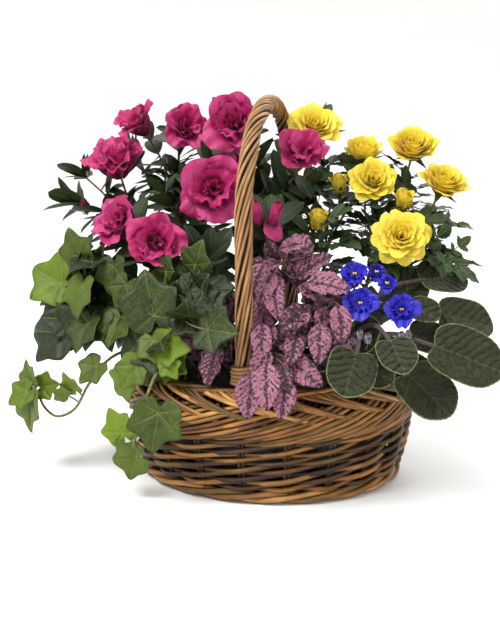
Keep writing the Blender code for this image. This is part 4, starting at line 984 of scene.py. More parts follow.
def twist_foot(skin, settings, chance):
    """A wale of three rods round the foot, each passing over two stakes and under one."""
    for strand in range(3):
        angle = np.linspace(0, math.tau + 0.05, 240)
        phase = angle * (settings.stake_count / 3) + strand * math.tau / 3
        radius = WALE_RING + WALE_SWING * np.cos(phase) + 0.0003 * np.sin(angle * 7 + strand)
        willow_rod(skin, oval(radius, angle, WALE_HEIGHT + WALE_RISE * np.sin(phase)), WALE_ROD, chance, 0.5, 1,
                   8)


def weave_base(skin, settings, chance):
    """Rods woven ring by ring through sticks that run out from the middle."""
    sticks = settings.stake_count // 2
    for index in range(sticks):
        angle = index * math.pi / sticks
        way = np.array([math.cos(angle), math.sin(angle) * OVAL, 0])
        skin.rod(np.linspace(-BASE_REACH, BASE_REACH, 24)[:, None] * way + (0, 0, 0.0036), BASE_STICK, 0.6, 6,
                 seed=index)
    for ring, radius in enumerate(np.arange(0.006, 0.1225, BASE_SPACING)):
        angle = np.linspace(0, math.tau + 0.03, 84)
        height = 0.0030 + 0.0010 * np.cos(angle * settings.stake_count / 2 + ring * math.pi)
        willow_rod(skin, oval(radius, angle, height), BASE_ROD, chance, 0.2, 0.8, 6)


def plait_border(skin, settings, chance):
    """Two bands of rods in fives: the upper ones come over the top of the rim and slant down, the lower ones
    slant up from the wall, and each band dives under the other halfway. A roll of four rods lies on top."""
    step = math.tau / settings.stake_count
    for index in range(settings.stake_count):
        for ups, passed, outs, depth, sag, fan_up, fan_on, soon, thickest, darkest, count in BORDER_BANDS:
            for strand in range(BAND_RODS):
                t = np.linspace(0, 1, count)
                offset = (strand - (BAND_RODS - 1) / 2) * BAND_GAP
                share, on, out = (np.interp(t, *zip(*stops)) for stops in (ups, passed, outs))
                share = share - offset * fan_up * np.clip(1.7 * t + soon, 0, 1)
                radius, height = profile_point(BORDER_PROFILE, share)
                radius = radius + out * chance.uniform(0.85, 1.15) - depth
                height = height - sag * np.sin(t * 3.14) + 0.0007 * chance.uniform(-1, 1)
                size = settings.border_rod_diameter / 2 * chance.uniform(0.86, thickest)
                angle = step * (index + 0.3 + on + offset * fan_on)
                willow_rod(skin, oval(radius, angle, height), size, chance, darkest, 1, 7)
    for strand in range(4):
        angle = np.linspace(0, math.tau + 0.05, 200)
        phase = angle * settings.stake_count / 4 + strand * math.pi / 2
        path = oval(ROLL_RING + ROLL_SWING * np.cos(phase), angle, ROLL_HEIGHT + ROLL_RISE * np.sin(phase))
        willow_rod(skin, path, ROLL_ROD, chance, 0.5, 1, 8)


# ---------------------------------------------------------------- the handle


def hoop_line(count):
    """Points up the front leg, over the top and down the back leg, and the way the hoop runs at each."""
    leg = HANDLE_CENTRE - HANDLE_FOOT
    arc = math.pi * HANDLE_SPAN
    way = np.linspace(0, 2 * leg + arc, count)
    turn = np.clip((way - leg) / HANDLE_SPAN, 0, math.pi)
    y = -HANDLE_SPAN * np.cos(turn)
    z = np.where(way < leg, HANDLE_FOOT + way, HANDLE_CENTRE + HANDLE_SPAN * np.sin(turn))
    z = np.where(way > leg + arc, HANDLE_CENTRE - (way - leg - arc), z)
    run = np.stack([0 * turn, np.sin(turn), np.cos(turn)], -1)
    return way, np.stack([0 * y, y, z], -1), run


def twist_handle(skin, settings, chance):
    """Rods laid round the hoop in a long twist that tightens towards the top."""
    way, line, run = hoop_line(260)
    height = line[:, 2]
    pitch = np.interp(height, *zip(*TWIST))
    turned = np.concatenate([[0], np.cumsum(np.diff(way) * math.tau / pitch[1:])])
    side = np.array([1.0, 0, 0])
    front = np.cross(side, run)
    count = settings.handle_rods
    thick = settings.handle_rod_diameter / 2
    for index in range(count):
        phase = turned + index * math.tau / count + 0.12 * np.sin(way * 40 + index * 2.1)
        reach = HANDLE_RADIUS - thick + 0.0002 + 0.0003 * np.sin(way * 63 + index * 1.7)
        away = front * np.cos(phase)[:, None] + side * np.sin(phase)[:, None]
        path = line + away * reach[:, None]
        size = thick * (1 + 0.07 * np.sin(way * 17 + index)) * chance.uniform(0.9, 1.06)
        willow_rod(skin, path, size, chance, 0.35, 1, 8, away)
    # A core in the darkest willow tint, painted shade that makes the gaps between the twisted rods read dark.
    skin.rod(line[::4], HANDLE_CORE, 0.0, 8, seed=7.0)


def wind_binding(skin, side, chance):
    """A skein of split willow wound round a leg, its end tucked under the last turn."""
    low, high = (v.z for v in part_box("handle_binding_front"))
    for layer, (radius, turns) in enumerate(BINDING_LAYERS):
        t = np.linspace(0, 1, 150)
        turn = math.tau * turns * t + layer * 2.0
        reach = radius + 0.0004 * np.sin(turn * 0.37)
        height = low + 0.0022 + (high - low - 0.0046) * t + 0.0006 * np.sin(turn + layer)
        away = np.stack([np.cos(turn), np.sin(turn), 0 * turn], -1)
        path = away * reach[:, None] + np.stack([0 * turn, 0 * turn + side * HANDLE_SPAN, height], -1)
        willow_rod(skin, path, BINDING_ROD, chance, 0.3, 0.9, 7, away)


# ---------------------------------------------------------------- blooms


def petal(skin, seat, axes, azimuth, length, width, lift, spread, chance, wrap=0.05, roll=0.0, rounding=0.35,
          curve=2.2, ruffle=0.0, waves=2.0, base_width=0.15, tint=0.5, rows=9, columns=9, slot=0, bend=1.3):
    """A petal that leaves its seat at an angle from the bloom's axis, lift, and ends at another, spread, in
    degrees. It curves round the bloom with radius wrap, its tip rolls back by roll degrees, and ruffles run
    along its edge."""
    u = np.linspace(0, 1, rows)[:, None] * np.ones((1, columns))
    v = np.linspace(-1, 1, columns)[None, :] * np.ones((rows, 1))
    share = np.linspace(0, 1, 60)
    lean = np.radians(lift + (spread - lift) * share**bend + roll * share**5)
    out = np.concatenate([[0], np.cumsum(np.sin(lean[1:]) * length / 59)])
    rise = np.concatenate([[0], np.cumsum(np.cos(lean[1:]) * length / 59)])
    along = u * (1 - rounding * np.abs(v)**curve)
    phase = chance.uniform(0, ANY_PHASE)
    frill = np.sin(waves * math.pi * v + phase) * (0.35 + 0.65 * np.abs(v))
    frill = frill + 0.5 * np.sin(2.3 * waves * math.pi * v + phase * 1.7) + 0.3 * np.sin(4.7 * waves * v + phase
                                                                                         * 3)
    half = width * (base_width + (1 - base_width) * np.sin(np.minimum(u / 0.72, 1.15) * math.pi / 2))
    angle = v * half / wrap
    rho, z, slope = (np.interp(along, share, values) for values in (out, rise, lean))
    swell = ruffle * u**2.2 * frill
    x = rho + wrap * (np.cos(angle) - 1) - np.cos(slope) * swell
    y = wrap * np.sin(angle)
    z = z + np.sin(slope) * swell
    turn = math.radians(azimuth)
    local = np.stack([x * math.cos(turn) - y * math.sin(turn), x * math.sin(turn) + y * math.cos(turn), z], -1)
    points = local @ axes + np.array(seat)
    skin.sheet(points, along * length / MM, v * half / MM, chance.uniform(0, 99), NO_VEIN, u, tint, slot)


def bloom_axes(facing):
    """A bloom's side, upper and outward ways, as rows."""
    return np.array(Vector(facing).to_track_quat("Z", "Y").to_matrix().transposed())


def azalea_bloom(skin, node, facing, chance):
    """A ruffled double bloom: three whorls of petals, and stamens in the middle."""
    centre, radius, depth = bloom_seat(node, facing)
    axes = bloom_axes(facing)
    seat = centre - facing * depth * 0.9
    length = math.hypot(radius, depth) * 1.42
    for whorl, (count, size, wide, lift, spread) in enumerate(AZALEA_WHORLS):
        for index in range(count):
            azimuth = 360 * index / count + whorl * 37 + chance.uniform(-13, 13)
            petal(skin, seat, axes, azimuth, length * size * chance.uniform(0.88, 1.08), radius * wide, lift,
                  spread + chance.uniform(-20, 14), chance, wrap=radius * chance.uniform(0.6, 1.3),
                  roll=chance.uniform(-22, 34), rounding=0.24, ruffle=radius * chance.uniform(0.10, 0.20),
                  waves=chance.uniform(1.2, 2.4), base_width=0.22, tint=chance.uniform(0.0, 1.1), rows=12,
                  columns=17)
    for index in range(6):
        way = direction(chance.uniform(0, 360), chance.uniform(62, 84))
        end = Vector(np.array(way) @ axes) * length * chance.uniform(0.52, 0.62)
        skin.rod(flowing([seat, seat + end * 0.5 + facing * 0.002, seat + end], 6), 0.00045, 0.9, 5, seed=index)


def rose_bloom(skin, node, facing, chance, petals, openness, ball, pointed=0.05):
    """A rosette of petals laid one inside another, each turned by the golden angle; the outer ones roll back.
    Ball is how far the petals close over the middle, from 0 to 1."""
    centre, radius, depth = bloom_seat(node, facing)
    axes = bloom_axes(facing)
    seat = centre - facing * depth * 0.85
    for index in range(petals):
        t = index / (petals - 1)
        length = (0.90 + 0.36 * t) * math.hypot(radius, depth)
        outer = max(0.0, t - 0.55) / 0.45
        lift = (1 - ball) * (2 + 22 * t * openness) + ball * (14 + 66 * t)
        spread = (1 - ball) * (2 + openness * (6 + 88 * t**0.95)) + ball * (40 * t - 14) + chance.uniform(-6, 6)
        petal(skin, seat, axes, GOLDEN_ANGLE * index + chance.uniform(-8, 8),
              length * chance.uniform(0.93, 1.06), radius * (0.26 + 0.46 * t), lift, spread, chance,
              wrap=radius * (0.14 + 0.55 * t), roll=openness * (18 + 34 * outer) * (1 - 0.4 * ball),
              rounding=0.24 + pointed * outer, curve=2.4 - 5 * pointed * outer,
              ruffle=radius * 0.035 * (1 + outer), waves=1.2, base_width=0.5, tint=chance.uniform(0.0, 0.9),
              rows=10, columns=9, bend=1.0 + 0.5 * (1 - t))
    return seat, radius


def sepals(skin, seat, facing, length, spread, chance, slot):
    """Five narrow green sepals and the small hip they spring from."""
    axes = bloom_axes(facing)
    for index in range(5):
        petal(skin, seat, axes, 72 * index + chance.uniform(-10, 10), length * chance.uniform(0.85, 1.15),
              length * 0.13, 60, spread + chance.uniform(-22, 22), chance, wrap=0.02, rounding=0.62, curve=1.0,
              base_width=0.7, rows=6, columns=3, slot=slot)
    back = np.array(facing)
    path = np.array(seat) + back * np.array([0.0015, 0.0, -0.002, -0.004, -0.006])[:, None]
    skin.rod(path, (0.0018, 0.0031, 0.0034, 0.0026, 0.0012), 0.5, 8, slot=slot)


def violet_face(skin, seat, facing, radius, chance):
    """The face of a violet bloom. Petals are slot 0, and anthers slot 2."""
    axes = bloom_axes(facing)
    for azimuth, size, rise in VIOLET_PETALS:
        petal(skin, seat, axes, azimuth + chance.uniform(-8, 8), radius * size * 1.18, radius * 0.60, 24,
              rise + chance.uniform(-26, 6), chance, wrap=0.022, roll=chance.uniform(-35, 25), rounding=0.26,
              curve=2.4, ruffle=radius * 0.20, waves=2.6, base_width=0.3, tint=chance.uniform(0.0, 1.1), rows=9,
              columns=11, bend=0.6)
    for side in (-1, 1):
        middle = np.array(seat) + np.array(facing) * 0.0050 + axes[0] * side * 0.0010
        way = np.array(facing) * 0.0010 + axes[1] * 0.0006
        skin.rod(np.array([middle - way, middle, middle + way]), (0.0007, 0.0011, 0.0007), 0.5, 8, slot=2)


def bud(skin, seat, facing, radius, length, count, chance, tint=0.5, slot=0):
    """A closed bud: petals wrapped tightly round each other to a blunt point."""
    axes = bloom_axes(facing)
    for index in range(count):
        t = index / max(count - 1, 1)
        petal(skin, seat, axes, GOLDEN_ANGLE * index, length * (1.0 - 0.10 * t), radius * 1.15, 34 + 8 * t,
              -26 + 16 * t, chance, wrap=radius * (0.45 + 0.35 * t), rounding=0.42, curve=1.6, base_width=0.65,
              tint=tint, rows=9, columns=7, slot=slot, bend=0.8)


# ---------------------------------------------------------------- the plants


def branched(skin, plant, name, shoot, chance, put_leaf, extras):
    """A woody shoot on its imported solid: trunk, twigs and their leaves, with more and smaller leaves between.
    Leaves are slot 0, and wood slot 1."""
    trunk_path, blooms, ends = shoot
    radius = BRANCH_RADIUS[plant]
    solid = solid_of(name)
    bark = flowing(rooted(trunk_path), 16)
    skin.rod(bark, np.linspace(radius * 1.5, radius * 1.1, 16), 0.4, 7, 1, chance.uniform(0, 99))
    for part in (slice(2, 8), slice(6, 12), slice(10, 16)):
        extras(skin, bark[part], chance, True)
    packed_trunk = [Vector((*trunk_path[0], SOIL_HEIGHT + 0.006))] + [Vector(p) for p in trunk_path[1:]]
    fork = packed_trunk[-1] - (packed_trunk[-1] - packed_trunk[-2]).normalized() * 0.004
    targets = []
    for bloom in blooms:
        facing = direction(*FACING[bloom])
        centre, _, depth = bloom_seat(bloom, facing)
        targets.append((bloom, centre - facing * (depth + 0.0008), facing))
    targets += [(f"end {i}", Vector(p), direction(*w)) for i, (p, w) in enumerate(ends)]
    for target, end, way in targets:
        twig = as_packed(solid, twig_tries(fork, end, way, name + target), twig_probes, radius * 0.49, 0.002)
        if twig is None:
            twig = next(twig_tries(fork, end, way, name + target))
        line = flowing(twig + ([twig[-1] + way * 0.003] if target in FACING else []), 14)
        skin.rod(line, np.linspace(radius * 0.85, radius * 0.6, 14), 0.5, 6, 1, chance.uniform(0, 99))
        for index, (base, tip, face) in enumerate(twig_leaves(plant, twig, name + target)):
            tries = leaf_tries(base, tip, face, f"{name} {target} {index}")
            found = as_packed(solid, sprouted(tries, base), lambda leaf: rim_points(plant, *leaf))
            if found:
                put_leaf(skin, *found, chance)
        extras(skin, line, chance, target in FACING)


def twig_probes(twig):
    return [(twig[i] + twig[i + 1]) / 2 for i in (1, 2, 3)]


def sprouted(tries, base):
    """Tries of a leaf that stays at its base on the twig."""
    for foot, end, face in tries:
        way = (end - foot).normalized()
        yield base - way * 0.002, base + end - foot, face


def twig_leaves(plant, twig, key):
    """Leaves in turn round the outer part of a twig, as (base, tip, face)."""
    chance = random.Random(key + "leaves")
    spin = chance.uniform(0, 360)
    for index in range(LEAVES_PER_TWIG[plant]):
        place = twig[-2 - index]
        axis = (twig[-1] - twig[-3]).normalized()
        side = axis.orthogonal().normalized()
        side.rotate(Matrix.Rotation(math.radians(spin + GOLDEN_ANGLE * index), 3, axis))
        out = (side + axis * chance.uniform(0.15, 0.7)).normalized()
        length = LEAF_LENGTH[plant] * chance.uniform(0.8, 1.1)
        base = place - out * 0.001
        face = (axis - out * axis.dot(out) + Vector((0, 0, 0.4))).normalized()
        yield base, base + out * length, face


def azalea_leaf(skin, base, tip, face, chance):
    long_leaf(skin, base, tip, face, chance.uniform(0.0, 1.0), chance, 0.21, 0.55, waviness=0.012, waves=1)


def rose_leaf(skin, base, tip, face, chance):
    """A rose leaf: five toothed leaflets along one stalk."""
    axes, length = leaf_axes(base, tip, face)
    along, across, up = (Vector(a) for a in axes)
    tint = chance.uniform(0.2, 0.8)

    def on_stalk(share):
        return base + length * (along * share + up * LEAF_DROOP * (share - share * share))

    skin.rod([on_stalk(s) for s in (0, 0.15, 0.3, 0.45, 0.56)], 0.0005, tint, 5)
    long_leaf(skin, on_stalk(0.52), tip, face, tint, chance, 0.31, 0.42, rows=13, teeth=0.05)
    for share, size in ((0.50, 0.36), (0.24, 0.30)):
        for side in (-1, 1):
            foot = on_stalk(share)
            way = (along * chance.uniform(0.35, 0.6) + across * side + up * 0.1).normalized()
            long_leaf(skin, foot, foot + way * length * size, face, tint, chance, 0.32, 0.42, rows=11,
                      teeth=0.05)


def clear_of_blooms(point):
    """Whether a point leaves every bloom's face free, along its own axis and from the show side."""
    for centre, radius, facing in BLOOM_FACES:
        off = point - centre
        ahead = off.dot(facing)
        if -0.004 < ahead < 0.05 and (off - facing * ahead).length < radius:
            return False
        if off.y < 0.004 and math.hypot(off.x, off.z) < radius + 0.003 and facing.y < 0:
            return False
    return True


def in_box(point):
    return all(CAD_BOX[0][i] < point[i] < CAD_BOX[1][i] for i in range(3))


def spread_leaves(count, crown, size, put_leaf):
    """A function that sets more leaves round a twig, and a whorl of them at its end if no bloom sits there."""
    def extras(skin, line, chance, flowering):
        places = [(chance.uniform(0.15, 0.95), GOLDEN_ANGLE * i, chance.uniform(0.1, 0.9)) for i in range(count)]
        if not flowering:
            places += [(1.0, 360 * i / crown, chance.uniform(0.5, 1.2)) for i in range(crown)]
        for share, turn, lean in places:
            index = max(int(share * (len(line) - 1)), 1)
            foot = Vector(line[index])
            axis = (foot - Vector(line[index - 1])).normalized()
            side = axis.orthogonal().normalized()
            side.rotate(Matrix.Rotation(math.radians(turn + chance.uniform(-25, 25)), 3, axis))
            out = (side + axis * lean).normalized()
            tip = foot + out * size * chance.uniform(0.7, 1.25)
            if in_box(tip) and clear_of_blooms(tip) and clear_of_blooms((foot + tip) / 2):
                put_leaf(skin, foot, tip, (axis + Vector((0, -0.45, 0.45))).normalized(), chance)
    return extras


def soft_shoot(skin, name, shape, shoot, heart, stem_radius, chance, put_leaf, fill, fill_size):
    """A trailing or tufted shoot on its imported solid, each leaf on its own stalk, and as many smaller leaves
    behind it as fill says. Leaves are slot 0, and stems slot 1."""
    path, leaves, tints = shoot
    points = rooted(path)
    packed = [Vector((*path[0], SOIL_HEIGHT + 0.0008)), points[1], *points[2:]]
    solid = solid_of(name)
    skin.rod(flowing(points, 10 * len(points)), np.linspace(stem_radius, stem_radius * 0.7, 10 * len(points)),
             0.5, 7, 1, chance.uniform(0, 99))
    anchors = [a.lerp(b, t / 4) for a, b in zip(packed[1:], packed[2:]) for t in range(4)][1:]
    for index, (base, tip) in enumerate(leaves):
        base, tip = Vector(base), Vector(tip)
        face = outward_face(base, tip, heart)
        found = as_packed(solid, leaf_tries(base, tip, face, f"{name} {index}"),
                          lambda leaf: rim_points(shape, *leaf))
        if not found:
            continue
        foot, end, turned = found
        root = min(anchors, key=lambda point: (point - foot).length)
        along = (end - foot).normalized()
        axes, length = leaf_axes(foot, end, turned)
        share = 0.15 if shape == "ivy" else 0.04
        join = foot + along * length * share + Vector(axes[2]) * length * LEAF_DROOP * (share - share * share)
        leave = (join - root).normalized() + Vector((0, 0, 0.25))
        thin_stalk(skin, root, leave.normalized(), join, along, LEAF_STALK, 1, 5, 9)
        put_leaf(skin, foot, end, turned, tints[index], chance)
        for _ in range(fill):
            place = root.lerp(foot, chance.uniform(0.3, 0.9)) + jolt(chance) * 0.010
            place.y += 0.009
            way = along + jolt(chance) * 0.9
            tip = place + way.normalized() * fill_size * chance.uniform(0.7, 1.2)
            if in_box(tip) and clear_of_blooms(tip) and clear_of_blooms(place):
                skin.rod([root, root.lerp(place, 0.5) + Vector((0, 0, 0.002)), place], 0.0007, 0.5, 5, 1)
                put_leaf(skin, place, tip, outward_face(place, tip, heart),
                         tints[index] * chance.uniform(0.3, 1), chance)


def ivy_leaf(skin, base, tip, face, tint, chance):
    broad_leaf(skin, base, tip, face, tint + chance.uniform(-0.05, 0.05), chance, "ivy", 0.62,
               (0, 56, -56, 112, -112), 0.030)


def polka_leaf(skin, base, tip, face, tint, chance):
    long_leaf(skin, base, tip, face, tint, chance, chance.uniform(0.25, 0.31), 0.42,
              fold=chance.uniform(0.2, 0.45), droop=chance.uniform(0.1, 0.34), waviness=0.045, waves=3, rows=16,
              columns=9)


def violet_blade(skin, base, tip, face, chance, slim=1.0):
    broad_leaf(skin, base, tip, face, 0.5, chance, "violet", 0.0, (0, 180), -0.004, rings=9, cup=0.10,
               scallop=0.005, slim=slim)


def lumpy_soil(skin, chance):
    """Potting mix heaped a little towards the middle, down the sides of the liner and across its floor."""
    rings = [(0.004, 0.012), (0.080, 0.012), (0.1085, 0.012), (0.1170, 0.060), (0.1190, 0.090)]
    angle = np.linspace(0, math.tau, 96, endpoint=False)
    rows = [np.stack([r * np.cos(angle), r * SOIL_OVAL * np.sin(angle), 0 * angle + z], -1) for r, z in rings]
    for share in np.linspace(1, 0.02, 26):
        r = 0.119 * share
        x, y = r * np.cos(angle), r * SOIL_OVAL * np.sin(angle)
        rough = sum(np.sin(x * a + y * b + c) for a, b, c in ((310, 120, 1), (-190, 420, 2), (740, 260, 3),
                                                              (330, -810, 4)))
        z = 0.0985 + 0.0011 * rough - 0.007 * share**8 + 0.002 * (1 - share)
        rows.append(np.stack([x, y, z], -1))
    points = np.array(rows)
    skin.sheet(points, points[..., 0] / MM, points[..., 1] / MM, points[..., 2] / MM, NO_VEIN, 0.5, 0.5,
               wrap=True)
    for index in range(150):
        turn, reach = chance.uniform(0, ANY_PHASE), 0.112 * math.sqrt(chance.random())
        middle = np.array([reach * math.cos(turn), reach * SOIL_OVAL * math.sin(turn), 0.0995])
        way = np.array([chance.uniform(-1, 1), chance.uniform(-1, 1), chance.uniform(-0.3, 0.3)])
        way = way / np.linalg.norm(way) * chance.uniform(0.002, 0.006)
        skin.rod(np.array([middle - way, middle - way * 0.5, middle + way * 0.4, middle + way]),
                 np.array([0.4, 1.0, 0.9, 0.3]) * chance.uniform(0.0009, 0.0022), 0.5, 5, slot=1,
                 seed=chance.uniform(0, 99), flat=0.6)


# ---------------------------------------------------------------- operators


class MakeWicker(bpy.types.Operator):
    """Weaves the basket's base, foot, wall and plaited border"""

    bl_idname = "flower_basket.make_wicker"
    bl_label = "Weave the basket"

    def execute(self, context):
        settings = context.scene.basket_wicker
        willow = willow_finish("willow_rod_boiled", settings.dark_willow, settings.light_willow, (
            (0.15, "#4b3019"), (0.30, "#3f2714"), (0.45, "#744920"), (0.60, "#8d6230"), (0.72, "#5f491e"),
            (0.84, "#98632f")))
        for name, node, weave in (("woven_wall", "basket_wall", (weave_wall, set_stakes)),
                                  ("waled_foot", "basket_foot_border", (twist_foot,)),
                                  ("woven_base", "basket_base", (weave_base,)),
                                  ("plaited_border", "basket_rim_border", (plait_border,))):
            skin, chance = started(name)
            for step in weave:
                step(skin, settings, chance)
            skin.piece(name, [willow], "willow", node)
        return {"FINISHED"}


class MakeHandle(bpy.types.Operator):
    """Twists the hoop handle and winds the binding round each leg"""

    bl_idname = "flower_basket.make_handle"
    bl_label = "Twist the handle"

    def execute(self, context):
        settings = context.scene.basket_wicker
        # The ramp's darkest end, #2a1b10, colours the handle's core as painted shade in the gaps between the
        # rods.
        rope = willow_finish("handle_willow_rod", linear("#2a1b10"), settings.handle_willow, (
            (0.30, "#8e673e"), (0.60, "#9c7146")))
        skin, chance = started("handle")
        twist_handle(skin, settings, chance)
        skin.piece("twisted_hoop", [rope], "handle_rope", "handle")
        for side, label in ((-1, "front"), (1, "back")):
            skin = Skin()
            wind_binding(skin, side, chance)
            skin.piece(f"wound_binding_{label}", [rope], "binding", f"handle_binding_{label}")
        return {"FINISHED"}


class MakeFilling(bpy.types.Operator):
    """Fills the basket with its liner and potting mix"""

    bl_idname = "flower_basket.make_filling"
    bl_label = "Fill with potting mix"

    def execute(self, context):
        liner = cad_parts["pot_liner"]
        liner.data.materials.clear()
        liner.data.materials.append(liner_finish())
        mix = plain_finish("potting_mix_moist", "#15100b", "#3a2a1d", size=3.0, bump=1.0, roughness=0.95)
        bark = plain_finish("bark_chips_moist", "#22160e", "#5b402a", size=2.0, bump=0.8, roughness=0.85)
        skin = Skin()
        lumpy_soil(skin, random.Random("soil"))
        skin.piece("potting_mix", [mix, bark], "soil", "potting_soil", "azalea_root_ball", "rose_root_ball",
                   "ivy_root_ball", "polka_dot_plant_root_ball", "violet_root_ball")
        return {"FINISHED"}


class MakeAzalea(bpy.types.Operator):
    """Grows the azalea: woody shoots, dark leaves, ruffled double blooms and buds"""

    bl_idname = "flower_basket.make_azalea"
    bl_label = "Grow the azalea"

    def execute(self, context):
        settings = context.scene.basket_planting
        # The dark throat colour stands partly for painted shade deep in the azalea's blooms.
        petals = petal_finish("azalea_petal_fresh", settings.azalea_petal, "#d44f96", "#6e0a30",
                              throat_reach=0.75, vein_width=1.0, roughness=0.5, see_through=0.12, crinkle=3.0)
        leaf = green_leaf_finish("azalea_leaf_leathery", "#12190a", settings.azalea_leaf, "#56683a", slope=1.0,
                                 spacing=5.0, roughness=0.52, vein_share=0.40)
        wood = plain_finish("azalea_twig_bark", "#3a2618", "#7a5a3c", size=2.0, bump=0.5, roughness=0.8)
        for name, shoot in AZALEA_BRANCHES.items():
            skin, chance = started(name)
            branched(skin, "azalea", name, shoot, chance, azalea_leaf, spread_leaves(13, 7, 0.038, azalea_leaf))
            skin.piece(name + "_foliage", [leaf, wood], "azalea_leaf", name)
        for name, facing in AZALEA_BLOOMS.items():
            skin = Skin()
            azalea_bloom(skin, name, direction(*facing), random.Random(name))
            skin.piece(name + "_petals", [petals], "azalea_petal", name)
        centre, radius, depth = bloom_seat("azalea_bud_1", direction(*AZALEA_BUDS["azalea_bud_1"]))
        skin, chance = started("azalea_bud_1")
        for aside, way, size in ((-0.006, (-110, 62), 1.0), (0.006, (-50, 60), 0.95)):
            facing = direction(*way)
            seat = centre + Vector((aside, 0, -depth * 0.8))
            bud(skin, seat, facing, radius * 0.62, 0.030 * size, 6, chance, chance.uniform(0.4, 0.8))
        petal(skin, centre - Vector((0, 0, depth * 0.6)), bloom_axes(direction(-60, 10)), -60, 0.024, 0.009, 60,
              100, chance, ruffle=0.002, tint=0.8)
        skin.piece("azalea_bud_1_petals", [petals], "azalea_petal", "azalea_bud_1")
        dark = petal_finish("azalea_bud_closed", "#7c1030", "#a8204c", "#3c0a18", throat_reach=0.75,
                            vein_width=1.0, roughness=0.5, see_through=0.05, crinkle=1.0)
        sheath = plain_finish("azalea_bud_sheath", "#8a8a5c", "#cfc8a0", size=3.0, bump=0.3, roughness=0.6)
        skin = Skin()
        for place, way, size in AZALEA_SMALL_BUDS:
            bud(skin, Vector(place), direction(*way), size * 0.40, size, 5, chance)
            bud(skin, Vector(place) - direction(*way) * size * 0.12, direction(*way), size * 0.44, size * 0.62,
                4, chance, 0.5, 1)
        skin.piece("azalea_small_buds", [dark, sheath], "azalea_petal")
        return {"FINISHED"}


class MakeRose(bpy.types.Operator):
    """Grows the miniature rose: canes, toothed leaves, blooms and buds"""

    bl_idname = "flower_basket.make_rose"
    bl_label = "Grow the rose"

    def execute(self, context):
        settings = context.scene.basket_planting
        # The golden throat colour stands partly for painted shade deep in the rose's blooms.
        petals = petal_finish("rose_petal_velvety", settings.rose_petal, "#f4e46e", "#dcae18", throat_reach=0.50,
                              vein_width=0.8, roughness=0.55, see_through=0.20, crinkle=1.2)
        leaf = green_leaf_finish("rose_leaf_toothed", "#18230c", settings.rose_leaf, "#62784a", slope=0.8,
                                 spacing=4.0, roughness=0.50, vein_share=0.40)
        cane = plain_finish("rose_cane_green", "#2c3c1a", "#5d7434", size=3.0, bump=0.3, roughness=0.5)
        for name, shoot in ROSE_CANES.items():
            skin, chance = started(name)
            branched(skin, "rose", name, shoot, chance, rose_leaf, spread_leaves(5, 2, 0.040, rose_leaf))
            skin.piece(name + "_foliage", [leaf, cane], "rose_leaf", name)
        for name, facing in ROSE_BLOOMS.items():
            way = direction(*facing)
            skin, chance = started(name)
            seat, radius = rose_bloom(skin, name, way, chance, ROSE_PETALS, 1.0, ROSE_BALL[name],
                                            0.18 if name == "rose_flower_5" else 0.05)
            sepals(skin, seat, way, radius * 1.45, 96, chance, 1)
            skin.piece(name + "_petals", [petals, leaf], "rose_petal", name)
        for name, facing in ROSE_BUDS.items():
            way = direction(*facing)
            skin, chance = started(name)
            centre, radius, depth = bloom_seat(name, way)
            seat = centre - way * depth * 0.95
            if radius > OPENING_ROSE_RADIUS:
                rose_bloom(skin, name, way, chance, OPENING_ROSE_PETALS, 0.6, 0.92)
            else:
                bud(skin, seat, way, radius, depth * 1.7, 9, chance)
                for index in range(4):
                    petal(skin, seat, bloom_axes(way), 90 * index + 20, depth * 1.5, radius * 0.85, 54, 4,
                          chance, wrap=radius, roll=38, rounding=0.26, base_width=0.6, bend=0.8)
            sepals(skin, seat, way, 0.016 + radius * 0.5, 62, chance, 1)
            skin.piece(name + "_petals", [petals, leaf], "rose_petal", name)
        return {"FINISHED"}


class MakeIvy(bpy.types.Operator):
    """Grows the trailing ivy"""

    bl_idname = "flower_basket.make_ivy"
    bl_label = "Grow the ivy"

    def execute(self, context):
        leaf = ivy_finish(context.scene.basket_planting)
        stem = plain_finish("ivy_stem", "#3f3a1c", "#7d7a3a", size=3.0, bump=0.3, roughness=0.6)
        for name, shoot in IVY_VINES.items():
            skin = Skin()
            soft_shoot(skin, name, "ivy", shoot, IVY_HEART, 0.0015, random.Random(name), ivy_leaf,
                       IVY_FILL[name], 0.036)
            skin.piece(name + "_foliage", [leaf, stem], "ivy_leaf", name, thickness=LEAF_THICKNESS)
        return {"FINISHED"}


class MakePolkaDot(bpy.types.Operator):
    """Grows the polka dot plant"""

    bl_idname = "flower_basket.make_polka_dot"
    bl_label = "Grow the polka dot plant"

    def execute(self, context):
        leaf = polka_finish(context.scene.basket_planting)
        stem = plain_finish("polka_dot_stem", "#4a2530", "#7c5a48", size=3.0, bump=0.3, roughness=0.6)
        for name, shoot in POLKA_SHOOTS.items():
            skin, chance = started(name)
            soft_shoot(skin, name, "polka", shoot, POLKA_HEART, 0.0017, chance, polka_leaf, 3, 0.032)
            for base, tip in POLKA_EXTRA.get(name, ()):
                base, tip = Vector(base), Vector(tip)
                polka_leaf(skin, base, tip, outward_face(base, tip, POLKA_HEART), chance.uniform(0.3, 0.7),
                           chance)
            skin.piece(name + "_foliage", [leaf, stem], "polka_dot_leaf", name, thickness=LEAF_THICKNESS)
        return {"FINISHED"}


